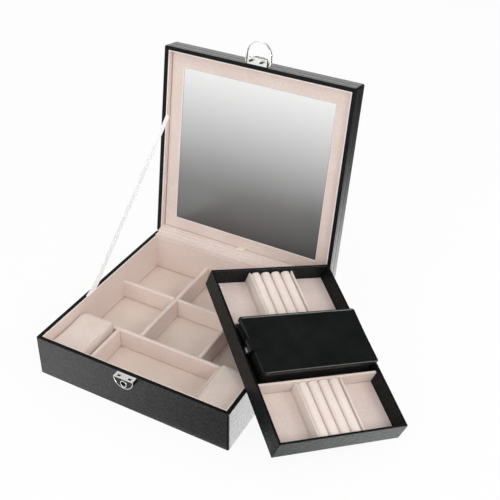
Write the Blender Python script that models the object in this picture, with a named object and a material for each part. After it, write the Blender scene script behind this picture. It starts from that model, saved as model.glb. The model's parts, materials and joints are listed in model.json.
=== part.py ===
"""Tiered jewelry box: a lidded base with dividers, a lift-out tray and a small travel case.

The base stands at the origin, its front facing -Y and its hinge side +Y. The lid is open
past upright, and the tray leans on the right rim with one corner on the table.
"""
import math

import bmesh
import bpy
from mathutils import Matrix, Vector

# Box, in metres
BOX_WIDTH = 0.260
BOX_DEPTH = 0.260
BASE_HEIGHT = 0.0562
BOARD = 0.005
BOTTOM_BOARD = 0.003
GAP = 0.0003
EDGE_ROUND = 0.0006
OVERRUN = 0.001
SHARP_ANGLE = math.radians(35)

# Base lining and dividers
LINING = 0.0010
LINING_DROP = 0.0006
FLOOR_LINING = 0.0012
HINGE_RAIL = 0.0064
DIVIDER = 0.0052
DIVIDER_HEIGHT = 0.0265
LONG_DIVIDER_X = 0.0415
SHORT_DIVIDER_X = 0.0720
REAR_CROSS_Y = 0.0385
FRONT_CROSS_Y = -0.0455

# Watch pillows
PILLOW_SIDE_GAP = 0.0006
PILLOW_INNER_GAP = 0.0022
PILLOW_EDGE_HEIGHT = 0.0315
PILLOW_CROWN = 0.0075
PILLOW_CROWN_POWER = 2.6
PILLOW_CORNER = 0.0090
PILLOW_DRAW_IN = 0.0018
PILLOW_CELLS = 14

# Lid
LID_HEIGHT = 0.0251
LID_OPEN = math.radians(98.67)
LID_TOP_BOARD = 0.0037
MIRROR_SIDE_BORDER = 0.0160
MIRROR_END_BORDER = 0.0155
MIRROR_SIDE_GAP = 0.0027
MIRROR_FRAME = 0.0016
MIRROR_GLASS = 0.0009
MIRROR_BOARD = 0.0026
MIRROR_DEPTH = 0.0086
MIRROR_HINGE_MARGIN = 0.0090
MIRROR_FRONT_MARGIN = 0.0100
BATTEN_WIDTH = 0.010
BATTEN_SHORT = 0.006
BATTEN_INSET = 0.012
PULL_TAB_WIDTH = 0.0085
PULL_TAB_THICK = 0.0010
PULL_TAB_REACH = 0.0055
PULL_TAB_BELOW_BOARD = 0.0010

# Hinge cloth, ribbon stay
GUSSET_WIDTH = 0.239
GUSSET = 0.0006
GUSSET_FOLD = 0.00025
GUSSET_FOLD_STEPS = 4
SPINE = 0.0006
SPINE_WIDTH = 0.254
SPINE_ON_BASE = 0.0300
SPINE_ON_LID = 0.0190
RIBBON_WIDTH = 0.0104
RIBBON = 0.0004
RIBBON_BASE_Y = -0.0279
RIBBON_LID_LENGTH = 0.1627
RIBBON_BASE_TUCK = 0.0080
RIBBON_LID_TUCK = 0.0070

# Lock on the base, hasp and ring on the lid
LOCK_WIDTH = 0.0264
LOCK_HEIGHT = 0.0146
LOCK_SHOULDER = 0.0015
LOCK_DEPTH = 0.0085
LOCK_SHELL = 0.0012
LOCK_ARC_STEPS = 20
HASP_HEIGHT = 0.0125
PRONG_X = 0.0072
PRONG_WIDTH = 0.0026
PRONG_DEPTH = 0.0020
PRONG_LENGTH = 0.0052
PRONG_OUT = 0.0055
PRONG_NOTCH = 0.0014
PRONG_NOTCH_HEIGHT = 0.0018
SLOT_CLEAR = 0.0004
KEY_BARREL_RADIUS = 0.0029
KEY_COLLAR_RADIUS = 0.0042
KEY_COLLAR = 0.0005
KEY_DROP = 0.0074
KEY_BARREL_LENGTH = 0.0052
KEYWAY_WIDTH = 0.0011
KEYWAY_HEIGHT = 0.0038
KEYWAY_DEPTH = 0.0032
CAM_PIN_RADIUS = 0.0006
CAM_PIN_OFFSET = 0.0016
CAM_PIN_LENGTH = 0.0016
BOLT_THICK = 0.0008
BOLT_HEIGHT = 0.0010
BOLT_HOOK = 0.0013
BOLT_FORK = 0.0013
BOLT_FORK_CLEAR = 0.0006
BAIL_WIDTH = 0.0340
BAIL_THICK = 0.0012
BAIL_BAND = 0.0044
BAIL_REACH = 0.0255
BAIL_PIVOT_OUT = 0.0035
BAIL_PIVOT_UP = 0.0046
BAIL_PIN_RADIUS = 0.0008
BAIL_ARC_STEPS = 20
ROUND_SIDES = 24

# Tray, and how it leans
TRAY_WIDTH = 0.1618
TRAY_LENGTH = 0.2369
TRAY_HEIGHT = 0.0256
TRAY_WALL = 0.0030
TRAY_FLOOR = 0.0020
TRAY_PAD = 0.0012
TRAY_PARTITION = 0.0030
TRAY_PARTITION_TOP = 0.0215
TRAY_END_BAY = 0.0714
TRAY_SLOPE = math.radians(19.84)
TRAY_TIP = math.radians(0.59)
TRAY_SPIN = math.radians(49.58)
TRAY_REAR_INSIDE = 0.0116
TRAY_REAR_BEHIND = 0.0034
ROLL_BLOCK_START = 0.0505
ROLL_LIP = 0.0016
ROLL_PITCH = 0.0137
ROLL_COUNT = 4
ROLL_SLOT = 0.0012
ROLL_BASE = 0.0040
ROLL_HEIGHT = 0.0172
ROLL_ARC_STEPS = 8

# Travel case in the tray's middle bay
CASE_LENGTH = 0.1488
CASE_WIDTH = 0.0765
CASE_START = 0.0085
CASE_BODY_INSET = 0.0016
CASE_BODY_HEIGHT = 0.0245
CASE_WALL = 0.0018
CASE_FLAP = 0.0050
CASE_CORNER = 0.0060
CASE_TAB_WIDTH = 0.0100
CASE_TAB_THICK = 0.0009
CASE_TAB_ON_TOP = 0.0150
CASE_TAB_OUT = 0.0030
CASE_TAB_DROP = 0.0125
SNAP_RADIUS = 0.0034
SNAP_FROM_END = 0.0044
SNAP_HEIGHT = 0.0009

# Derived places
HALF_WIDTH = BOX_WIDTH / 2
HALF_DEPTH = BOX_DEPTH / 2
INNER_X = HALF_WIDTH - BOARD - GAP
FRONT_INNER_Y = -HALF_DEPTH + BOARD + GAP
BACK_INNER_Y = HALF_DEPTH - BOARD - GAP
RAIL_INNER_Y = BACK_INNER_Y - HINGE_RAIL
BACK_LINING_Y = RAIL_INNER_Y - GAP
FLOOR_TOP = BOTTOM_BOARD
FLOOR_LINING_TOP = FLOOR_TOP + GAP + FLOOR_LINING
LINED_X = INNER_X - LINING
LINED_FRONT_Y = FRONT_INNER_Y + LINING
LINED_BACK_Y = BACK_LINING_Y - LINING
LINING_TOP = BASE_HEIGHT - LINING_DROP
WELL_FLOOR = FLOOR_LINING_TOP + GAP
DIVIDER_TOP = WELL_FLOOR + DIVIDER_HEIGHT


def material(name, colour, roughness, metallic=0.0):
    """A plain Principled material."""
    finish = bpy.data.materials.new(name)
    finish.use_nodes = True
    shader = finish.node_tree.nodes["Principled BSDF"]
    shader.inputs["Base Color"].default_value = (*colour, 1.0)
    shader.inputs["Roughness"].default_value = roughness
    shader.inputs["Metallic"].default_value = metallic
    return finish


def add_object(name, shape, finish, frame, smooth=True):
    """Turn a bmesh into a named object that is parented to a frame."""
    bmesh.ops.recalc_face_normals(shape, faces=shape.faces)
    mesh = bpy.data.meshes.new(name)
    shape.to_mesh(mesh)
    shape.free()
    mesh.materials.append(finish)
    if smooth:
        mesh.shade_smooth()
        mesh.set_sharp_from_angle(angle=SHARP_ANGLE)
    piece = bpy.data.objects.new(name, mesh)
    bpy.context.scene.collection.objects.link(piece)
    piece.parent = frame
    return piece


def box_shape(low, high, edge=0.0):
    """A box between two corners, with its edges rounded by one chamfer."""
    shape = bmesh.new()
    bmesh.ops.create_cube(shape, size=1.0)
    size = Vector(high) - Vector(low)
    middle = (Vector(high) + Vector(low)) / 2
    bmesh.ops.scale(shape, vec=size, verts=shape.verts)
    bmesh.ops.translate(shape, vec=middle, verts=shape.verts)
    if edge:
        bmesh.ops.bevel(shape, geom=shape.edges[:], offset=edge, segments=1, affect="EDGES")
    return shape


def board(name, low, high, finish, frame, edge=EDGE_ROUND):
    """A flat piece: a board, a lining or a pad."""
    edge = min(edge, min(Vector(high) - Vector(low)) / 3)
    return add_object(name, box_shape(low, high, edge), finish, frame, smooth=False)


def prism_shape(outline, start, end, place):
    """An outline of (a, b) points drawn out from start to end; place maps (a, b, c) to a point."""
    shape = bmesh.new()
    near = [shape.verts.new(place(a, b, start)) for a, b in outline]
    face = shape.faces.new(near)
    drawn = bmesh.ops.extrude_face_region(shape, geom=[face])
    moved = [item for item in drawn["geom"] if isinstance(item, bmesh.types.BMVert)]
    step = Vector(place(0, 0, end)) - Vector(place(0, 0, start))
    bmesh.ops.translate(shape, vec=step, verts=moved)
    return shape


def along_x(a, b, c):
    return (c, a, b)


def along_y(a, b, c):
    return (a, c, b)


def along_z(a, b, c):
    return (a, b, c)


def arc(centre, radius_a, radius_b, start, end, steps):
    """Points of an arc or a part of an ellipse, both ends included."""
    points = []
    for step in range(steps + 1):
        angle = start + (end - start) * step / steps
        points.append((centre[0] + radius_a * math.cos(angle), centre[1] + radius_b * math.sin(angle)))
    return points


def rounded_rectangle(low, high, radius, steps=4):
    """The outline of a rectangle with round corners."""
    quarter = math.pi / 2
    centres = [
        (high[0] - radius, high[1] - radius),
        (low[0] + radius, high[1] - radius),
        (low[0] + radius, low[1] + radius),
        (high[0] - radius, low[1] + radius),
    ]
    points = []
    for index, centre in enumerate(centres):
        points += arc(centre, radius, radius, index * quarter, (index + 1) * quarter, steps)
    return points


def cutter(name, shape, frame):
    """A hidden shape for a Boolean."""
    bmesh.ops.recalc_face_normals(shape, faces=shape.faces)
    mesh = bpy.data.meshes.new(name)
    shape.to_mesh(mesh)
    shape.free()
    tool = bpy.data.objects.new(name, mesh)
    bpy.context.scene.collection.objects.link(tool)
    tool.parent = frame
    tool.hide_render = True
    tool.display_type = "WIRE"
    return tool


def boolean(piece, tool, operation):
    """Cut a tool out of a piece, or join it on."""
    change = piece.modifiers.new(tool.name, "BOOLEAN")
    change.operation = operation
    change.object = tool


def round_bar(radius, start, end, place, centre=(0.0, 0.0), sides=ROUND_SIDES):
    """A round bar along one axis."""
    outline = arc(centre, radius, radius, 0.0, 2 * math.pi * (1 - 1 / sides), sides - 1)
    return prism_shape(outline, start, end, place)


def frame_empty(name, matrix):
    """An empty that carries a group of pieces."""
    empty = bpy.data.objects.new(name, None)
    bpy.context.scene.collection.objects.link(empty)
    empty.matrix_world = matrix
    return empty


def build_base(finish, frame):
    """The five boards of the base, its hinge rail and its linings."""
    leather = finish["leather"]
    velvet = finish["velvet"]
    front_edge = (-HALF_WIDTH, -HALF_DEPTH, 0.0)
    board("base_front_board", front_edge, (HALF_WIDTH, -HALF_DEPTH + BOARD, BASE_HEIGHT), leather, frame)
    back_low = (-HALF_WIDTH, HALF_DEPTH - BOARD, 0.0)
    board("base_back_board", back_low, (HALF_WIDTH, HALF_DEPTH, BASE_HEIGHT), leather, frame)
    for name, side in (("base_left_board", -1), ("base_right_board", 1)):
        near, far = sorted((side * HALF_WIDTH, side * (HALF_WIDTH - BOARD)))
        board(name, (near, FRONT_INNER_Y, 0.0), (far, BACK_INNER_Y, BASE_HEIGHT), leather, frame)
    low = (-INNER_X, FRONT_INNER_Y, 0.0)
    board("base_bottom_board", low, (INNER_X, BACK_INNER_Y, FLOOR_TOP), finish["board"], frame)
    low = (-INNER_X, RAIL_INNER_Y, FLOOR_TOP + GAP)
    board("hinge_rail", low, (INNER_X, BACK_INNER_Y, LINING_TOP), finish["board"], frame)

    low = (-INNER_X, FRONT_INNER_Y, FLOOR_TOP + GAP)
    board("base_floor_lining", low, (INNER_X, BACK_LINING_Y, FLOOR_LINING_TOP), velvet, frame)
    low = (-INNER_X, FRONT_INNER_Y, WELL_FLOOR)
    board("base_front_lining", low, (INNER_X, LINED_FRONT_Y, LINING_TOP), velvet, frame)
    low = (-INNER_X, LINED_BACK_Y, WELL_FLOOR)
    board("base_back_lining", low, (INNER_X, BACK_LINING_Y, LINING_TOP), velvet, frame)
    for name, side in (("base_left_lining", -1), ("base_right_lining", 1)):
        near, far = sorted((side * INNER_X, side * LINED_X))
        low = (near, LINED_FRONT_Y + GAP, WELL_FLOOR)
        board(name, low, (far, LINED_BACK_Y - GAP, LINING_TOP), velvet, frame)


def build_dividers(finish, frame):
    """Two cross dividers, two lengthwise ones halved into the rear one, and two short ones."""
    velvet = finish["velvet"]
    half = DIVIDER / 2
    reach = LINED_X - GAP
    middle = (WELL_FLOOR + DIVIDER_TOP) / 2
    low = (-reach, REAR_CROSS_Y - half, WELL_FLOOR)
    rear = board("rear_cross_divider", low, (reach, REAR_CROSS_Y + half, DIVIDER_TOP), velvet, frame)
    low = (-reach, FRONT_CROSS_Y - half, WELL_FLOOR)
    board("front_cross_divider", low, (reach, FRONT_CROSS_Y + half, DIVIDER_TOP), velvet, frame)
    for name, side in (("left_long_divider", -1), ("right_long_divider", 1)):
        x = side * LONG_DIVIDER_X
        low = (x - half, FRONT_CROSS_Y + half + GAP, WELL_FLOOR)
        piece = board(name, low, (x + half, LINED_BACK_Y - GAP, DIVIDER_TOP), velvet, frame)
        notch = box_shape(
            (x - half - OVERRUN, REAR_CROSS_Y - half - GAP, WELL_FLOOR - OVERRUN),
            (x + half + OVERRUN, REAR_CROSS_Y + half + GAP, middle + GAP),
        )
        boolean(piece, cutter(name + "_notch", notch, frame), "DIFFERENCE")
        notch = box_shape(
            (x - half - GAP, REAR_CROSS_Y - half - OVERRUN, middle),
            (x + half + GAP, REAR_CROSS_Y + half + OVERRUN, DIVIDER_TOP + OVERRUN),
        )
        boolean(rear, cutter(name + "_slot", notch, frame), "DIFFERENCE")
    for name, side in (("left_short_divider", -1), ("right_short_divider", 1)):
        x = side * SHORT_DIVIDER_X
        low = (x - half, LINED_FRONT_Y + GAP, WELL_FLOOR)
        board(name, low, (x + half, FRONT_CROSS_Y - half - GAP, DIVIDER_TOP), velvet, frame)


def pillow_shape(low, high, foot):
    """A stuffed block: flat underneath, drawn in at the foot, round at its corners and crowned."""
    middle_x = (low[0] + high[0]) / 2
    middle_y = (low[1] + high[1]) / 2
    half_x = (high[0] - low[0]) / 2
    half_y = (high[1] - low[1]) / 2
    ring_shares = ((0.0, 1.0), (0.14, 0.25), (0.45, 0.0), (0.80, 0.0), (0.93, 0.35), (1.0, 1.0))
    shape = bmesh.new()
    rings = []
    for height_share, draw_share in ring_shares:
        draw = PILLOW_DRAW_IN * draw_share
        outline = rounded_rectangle(
            (middle_x - half_x + draw, middle_y - half_y + draw),
            (middle_x + half_x - draw, middle_y + half_y - draw),
            PILLOW_CORNER,
            PILLOW_CELLS // 2,
        )
        height = foot + PILLOW_EDGE_HEIGHT * height_share
        rings.append([shape.verts.new((x, y, height)) for x, y in outline])
    for lower, upper in zip(rings, rings[1:]):
        for index in range(len(lower)):
            after = (index + 1) % len(lower)
            shape.faces.new((lower[index], lower[after], upper[after], upper[index]))
    shape.faces.new(list(reversed(rings[0])))
    shrink_shares = (0.88, 0.70, 0.45, 0.22)
    last = rings[-1]
    top = foot + PILLOW_EDGE_HEIGHT
    for share in shrink_shares:
        rise = PILLOW_CROWN * (1 - share ** PILLOW_CROWN_POWER)
        ring = []
        for vertex in rings[-1]:
            x = middle_x + (vertex.co.x - middle_x) * share
            y = middle_y + (vertex.co.y - middle_y) * share
            ring.append(shape.verts.new((x, y, top + rise)))
        for index in range(len(ring)):
            after = (index + 1) % len(ring)
            shape.faces.new((last[index], last[after], ring[after], ring[index]))
        last = ring
    crown = shape.verts.new((middle_x, middle_y, top + PILLOW_CROWN))
    for index in range(len(last)):
        shape.faces.new((last[index], last[(index + 1) % len(last)], crown))
    return shape


def build_pillows(finish, frame):
    """The two watch pillows at the ends of the front row."""
    for name, side in (("left_watch_pillow", -1), ("right_watch_pillow", 1)):
        inner = SHORT_DIVIDER_X + DIVIDER / 2 + PILLOW_INNER_GAP
        near, far = sorted((side * inner, side * (LINED_X - PILLOW_SIDE_GAP)))
        low = (near, LINED_FRONT_Y + PILLOW_SIDE_GAP)
        high = (far, FRONT_CROSS_Y - DIVIDER / 2 - PILLOW_SIDE_GAP)
        add_object(name, pillow_shape(low, high, WELL_FLOOR), finish["velvet"], frame)


def half_moon(width, height, shoulder, top, inset=0.0):
    """The lock's outline in X and Z: flat on top, short sides, then half an ellipse below."""
    half = width / 2 - inset
    centre = top - shoulder
    drop = height - shoulder - inset
    curve = arc((0.0, centre), half, -drop, 0.0, math.pi, LOCK_ARC_STEPS)
    return [(half, top - inset)] + curve + [(-half, top - inset)]


def build_lock(finish, frame):
    """The half-moon lock on the front board: case, key barrel and sliding bolt."""
    chrome = finish["chrome"]
    top = BASE_HEIGHT - GAP
    back = -HALF_DEPTH - GAP
    front = back - LOCK_DEPTH
    key_z = top - KEY_DROP
    case = add_object(
        "lock_case",
        prism_shape(half_moon(LOCK_WIDTH, LOCK_HEIGHT, LOCK_SHOULDER, top), front, back, along_y),
        chrome,
        frame,
    )
    hollow = half_moon(LOCK_WIDTH, LOCK_HEIGHT, LOCK_SHOULDER, top, LOCK_SHELL)
    room = prism_shape(hollow, front + LOCK_SHELL, back + OVERRUN, along_y)
    boolean(case, cutter("lock_room", room, frame), "DIFFERENCE")
    key_centre = (0.0, key_z)
    collar = round_bar(KEY_COLLAR_RADIUS, front - KEY_COLLAR, front + LOCK_SHELL / 2, along_y, key_centre)
    boolean(case, cutter("lock_collar", collar, frame), "UNION")
    bore_start = front - KEY_COLLAR - OVERRUN
    bore_end = front + LOCK_SHELL + OVERRUN
    bore = round_bar(KEY_BARREL_RADIUS + GAP, bore_start, bore_end, along_y, key_centre)
    boolean(case, cutter("lock_bore", bore, frame), "DIFFERENCE")
    prong_y = -HALF_DEPTH - PRONG_OUT
    slot_half_x = PRONG_WIDTH / 2 + SLOT_CLEAR
    slot_half_y = PRONG_DEPTH / 2 + SLOT_CLEAR
    for name, side in (("left_prong_slot", -1), ("right_prong_slot", 1)):
        x = side * PRONG_X
        slot = box_shape(
            (x - slot_half_x, prong_y - slot_half_y, top - LOCK_SHELL - OVERRUN),
            (x + slot_half_x, prong_y + slot_half_y, top + OVERRUN),
        )
        boolean(case, cutter(name, slot, frame), "DIFFERENCE")

    barrel_end = front + KEY_BARREL_LENGTH
    barrel = add_object(
        "key_barrel",
        round_bar(KEY_BARREL_RADIUS, front - KEY_COLLAR / 2, barrel_end, along_y, key_centre),
        chrome,
        frame,
    )
    keyway = box_shape(
        (-KEYWAY_WIDTH / 2, front - KEY_COLLAR - OVERRUN, key_z - KEYWAY_HEIGHT / 2),
        (KEYWAY_WIDTH / 2, front + KEYWAY_DEPTH, key_z + KEYWAY_HEIGHT / 2),
    )
    boolean(barrel, cutter("keyway", keyway, frame), "DIFFERENCE")
    cam_pin = round_bar(
        CAM_PIN_RADIUS,
        barrel_end - OVERRUN / 2,
        barrel_end + CAM_PIN_LENGTH,
        along_y,
        (0.0, key_z + CAM_PIN_OFFSET),
        ROUND_SIDES // 2,
    )
    boolean(barrel, cutter("cam_pin", cam_pin, frame), "UNION")

    bolt_front = barrel_end + GAP
    bolt_back = bolt_front + BOLT_THICK
    notch_z = BASE_HEIGHT + GAP - PRONG_LENGTH / 2
    bolt_low = notch_z - BOLT_HEIGHT / 2
    bolt_high = notch_z + BOLT_HEIGHT / 2
    fork_inner = CAM_PIN_RADIUS + BOLT_FORK_CLEAR
    fork_outer = fork_inner + BOLT_FORK
    fork_low = key_z - CAM_PIN_RADIUS
    hook_start = PRONG_WIDTH / 2 + SLOT_CLEAR
    left_end = -PRONG_X + hook_start
    right_end = PRONG_X + hook_start + BOLT_HOOK
    outline = [
        (left_end, bolt_high),
        (left_end, bolt_low),
        (-fork_outer, bolt_low),
        (-fork_outer, fork_low),
        (-fork_inner, fork_low),
        (-fork_inner, bolt_low),
        (fork_inner, bolt_low),
        (fork_inner, fork_low),
        (fork_outer, fork_low),
        (fork_outer, bolt_low),
        (right_end, bolt_low),
        (right_end, bolt_high),
    ]
    plate = prism_shape(outline, bolt_front, bolt_back, along_y)
    bolt = add_object("lock_bolt", plate, chrome, frame, smooth=False)
    for name, side in (("left_bolt_hook", -1), ("right_bolt_hook", 1)):
        near = side * PRONG_X + hook_start
        hook = box_shape(
            (near, prong_y - PRONG_DEPTH / 2, bolt_low),
            (near + BOLT_HOOK, bolt_back - BOLT_THICK / 2, bolt_high),
        )
        boolean(bolt, cutter(name, hook, frame), "UNION")


def build_lid(finish, frame):
    """The lid, drawn closed in its own frame: the hinge line is X, the front is -Y, up is Z."""
    leather = finish["leather"]
    velvet = finish["velvet"]
    wall_top = LID_HEIGHT - LID_TOP_BOARD - GAP
    low = (-HALF_WIDTH, -BOX_DEPTH, wall_top + GAP)
    board("lid_top_board", low, (HALF_WIDTH, 0.0, LID_HEIGHT), leather, frame)
    low = (-HALF_WIDTH, -BOX_DEPTH, GAP)
    board("lid_front_wall", low, (HALF_WIDTH, -BOX_DEPTH + BOARD, wall_top), leather, frame)
    low = (-HALF_WIDTH, -BOARD, GAP)
    board("lid_back_wall", low, (HALF_WIDTH, 0.0, wall_top), leather, frame)
    front = -BOX_DEPTH + BOARD + GAP
    back = -BOARD - GAP
    for name, side in (("lid_left_wall", -1), ("lid_right_wall", 1)):
        near, far = sorted((side * HALF_WIDTH, side * (HALF_WIDTH - BOARD)))
        board(name, (near, front, GAP), (far, back, wall_top), leather, frame)

    lining_low = GAP + LINING_DROP
    low = (-INNER_X, front, lining_low)
    board("lid_front_lining", low, (INNER_X, front + LINING, wall_top), velvet, frame)
    back_lining_low = MIRROR_DEPTH
    low = (-INNER_X, back - LINING, back_lining_low)
    board("lid_back_lining", low, (INNER_X, back, wall_top), velvet, frame)
    for name, side in (("lid_left_lining", -1), ("lid_right_lining", 1)):
        near, far = sorted((side * INNER_X, side * LINED_X))
        low = (near, front + LINING + GAP, lining_low)
        board(name, low, (far, back - LINING - GAP, wall_top), velvet, frame)


def build_mirror(finish, frame):
    """The mirror in its velvet frame, on a board that two battens hold off the lid's top."""
    velvet = finish["velvet"]
    half = LINED_X - MIRROR_SIDE_GAP
    frame_back = -MIRROR_HINGE_MARGIN
    frame_front = -BOX_DEPTH + MIRROR_FRONT_MARGIN
    frame_high = MIRROR_DEPTH + MIRROR_FRAME
    rim = add_object(
        "mirror_frame",
        box_shape((-half, frame_front, MIRROR_DEPTH), (half, frame_back, frame_high), MIRROR_FRAME / 4),
        velvet,
        frame,
        smooth=False,
    )
    window = half - MIRROR_SIDE_BORDER
    window_front = frame_front + MIRROR_END_BORDER
    window_back = frame_back - MIRROR_END_BORDER
    opening = box_shape(
        (-window, window_front, MIRROR_DEPTH - OVERRUN),
        (window, window_back, frame_high + OVERRUN),
    )
    boolean(rim, cutter("mirror_window", opening, frame), "DIFFERENCE")
    low = (-window + GAP, window_front + GAP, frame_high - MIRROR_GLASS)
    high = (window - GAP, window_back - GAP, frame_high)
    board("mirror_glass", low, high, finish["mirror"], frame)
    board_low = frame_high + GAP
    board_high = board_low + MIRROR_BOARD
    low = (-half, frame_front, board_low)
    board("mirror_board", low, (half, frame_back, board_high), finish["board"], frame)
    wall_top = LID_HEIGHT - LID_TOP_BOARD - GAP
    for name, side in (("left_mirror_batten", -1), ("right_mirror_batten", 1)):
        outer = half - BATTEN_INSET
        near, far = sorted((side * outer, side * (outer - BATTEN_WIDTH)))
        low = (near, frame_front + BATTEN_SHORT, board_high + GAP)
        board(name, low, (far, frame_back - BATTEN_SHORT, wall_top), finish["board"], frame)

    tab_low_y = frame_back + PULL_TAB_BELOW_BOARD
    low = (-PULL_TAB_WIDTH / 2, tab_low_y, MIRROR_DEPTH - PULL_TAB_REACH)
    high = (PULL_TAB_WIDTH / 2, tab_low_y + PULL_TAB_THICK, frame_high)
    board("pull_tab", low, high, finish["ribbon"], frame)


def build_hasp(finish, frame):
    """The hasp with its two prongs, the pin through it and the ring that swings on the pin."""
    chrome = finish["chrome"]
    back = -BOX_DEPTH - GAP
    front = back - LOCK_DEPTH
    low_z = 2 * GAP
    half = LOCK_WIDTH / 2
    centre = low_z + LOCK_SHOULDER
    rise = HASP_HEIGHT - LOCK_SHOULDER
    curve = arc((0.0, centre), -half, rise, 0.0, math.pi, LOCK_ARC_STEPS)
    outline = [(-half, low_z)] + curve + [(half, low_z)]
    hasp = add_object("hasp", prism_shape(outline, front, back, along_y), chrome, frame)
    prong_y = -BOX_DEPTH - PRONG_OUT
    notch_z = GAP - PRONG_LENGTH / 2
    for name, side in (("left_prong", -1), ("right_prong", 1)):
        x = side * PRONG_X
        prong = box_shape(
            (x - PRONG_WIDTH / 2, prong_y - PRONG_DEPTH / 2, GAP - PRONG_LENGTH),
            (x + PRONG_WIDTH / 2, prong_y + PRONG_DEPTH / 2, low_z + OVERRUN),
        )
        boolean(hasp, cutter(name, prong, frame), "UNION")
        notch = box_shape(
            (x + PRONG_WIDTH / 2 - PRONG_NOTCH, prong_y - PRONG_DEPTH, notch_z - PRONG_NOTCH_HEIGHT / 2),
            (x + PRONG_WIDTH / 2 + OVERRUN, prong_y + PRONG_DEPTH, notch_z + PRONG_NOTCH_HEIGHT / 2),
        )
        boolean(hasp, cutter(name + "_notch", notch, frame), "DIFFERENCE")
    pivot = (-BOX_DEPTH - BAIL_PIVOT_OUT, BAIL_PIVOT_UP)
    pin_half = BAIL_WIDTH / 2
    bore = round_bar(BAIL_PIN_RADIUS + GAP, -pin_half, pin_half, along_x, pivot, ROUND_SIDES // 2)
    boolean(hasp, cutter("hasp_bore", bore, frame), "DIFFERENCE")
    pin = round_bar(BAIL_PIN_RADIUS, -pin_half, pin_half, along_x, pivot, ROUND_SIDES // 2)
    add_object("ring_pin", pin, chrome, frame)

    outer = BAIL_WIDTH / 2
    inner = outer - BAIL_THICK
    foot = pivot[0] + BAIL_BAND / 2
    bend = pivot[0] - BAIL_REACH + outer
    ring = (
        [(outer, foot)]
        + arc((0.0, bend), outer, -outer, 0.0, math.pi, BAIL_ARC_STEPS)
        + [(-outer, foot), (-inner, foot)]
        + arc((0.0, bend), -inner, -inner, 0.0, math.pi, BAIL_ARC_STEPS)
        + [(inner, foot)]
    )
    band_low = pivot[1] - BAIL_BAND / 2
    band_high = pivot[1] + BAIL_BAND / 2
    bail = add_object("pull_ring", prism_shape(ring, band_low, band_high, along_z), chrome, frame)
    eye_end = outer + OVERRUN
    eye = round_bar(BAIL_PIN_RADIUS + GAP, -eye_end, eye_end, along_x, pivot, ROUND_SIDES // 2)
    boolean(bail, cutter("ring_eye", eye, frame), "DIFFERENCE")


def lid_point(length, depth):
    """World Y and Z of a point on the open lid: length up from the hinge, depth behind its rim plane."""
    y = HALF_DEPTH - length * math.cos(LID_OPEN) + depth * math.sin(LID_OPEN)
    z = BASE_HEIGHT + length * math.sin(LID_OPEN) + depth * math.cos(LID_OPEN)
    return Vector((y, z))


def strip_outline(path, thick):
    """The outline of a strip of one thickness that follows a path of (y, z) points."""
    sides = ([], [])
    for index, point in enumerate(path):
        before = path[max(index - 1, 0)]
        after = path[min(index + 1, len(path) - 1)]
        along = (after - before).normalized()
        out = Vector((-along.y, along.x)) * thick / 2
        sides[0].append(tuple(point + out))
        sides[1].append(tuple(point - out))
    return sides[0] + list(reversed(sides[1]))


def build_hinge_cloth(finish, frame):
    """The velvet gusset inside the hinge and the leather spine outside it."""
    lift = GUSSET / 2 + GAP
    start = Vector((BACK_LINING_Y, LINING_TOP + lift))
    knee = Vector((HALF_DEPTH - BOARD, BASE_HEIGHT + lift))
    crest = lid_point(BOARD + lift, GAP)
    end = lid_point(BOARD + lift, MIRROR_DEPTH - GUSSET)
    path = [start]
    for first, second in ((start, knee), (knee, crest), (crest, end)):
        for step in range(1, GUSSET_FOLD_STEPS + 1):
            path.append(first.lerp(second, step / GUSSET_FOLD_STEPS))
    for index in range(1, GUSSET_FOLD_STEPS * 3, 2):
        path[index] = path[index] + Vector((0.0, GUSSET_FOLD))
    half = GUSSET_WIDTH / 2
    shape = prism_shape(strip_outline(path, GUSSET), -half, half, along_x)
    add_object("hinge_gusset", shape, finish["velvet"], frame)

    out = SPINE / 2 + GAP
    corner_y = HALF_DEPTH + out
    foot = Vector((corner_y, BASE_HEIGHT - SPINE_ON_BASE))
    tip = lid_point(-out, SPINE_ON_LID)
    slope = math.tan(LID_OPEN - math.pi / 2)
    bend_z = lid_point(-out, 0.0).y - slope * (corner_y - lid_point(-out, 0.0).x)
    bend = Vector((corner_y, bend_z))
    half = SPINE_WIDTH / 2
    outline = strip_outline([foot, foot.lerp(bend, 0.5), bend, bend.lerp(tip, 0.5), tip], SPINE)
    spine = prism_shape(outline, -half, half, along_x)
    add_object("hinge_spine", spine, finish["leather"], frame, smooth=False)


def build_ribbon(finish, frame):
    """The sheer ribbon that stops the lid, from the base's left lining to the lid's."""
    inner = -LINED_X + GAP
    foot = Vector((RIBBON_BASE_Y, BASE_HEIGHT))
    head = lid_point(RIBBON_LID_LENGTH, 0.0)
    along = (head - foot).normalized()
    foot = foot - along * RIBBON_BASE_TUCK
    head = head + along * RIBBON_LID_TUCK
    shape = prism_shape(strip_outline([foot, head], RIBBON_WIDTH), inner, inner + RIBBON, along_x)
    add_object("ribbon_stay", shape, finish["ribbon"], frame, smooth=False)


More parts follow.
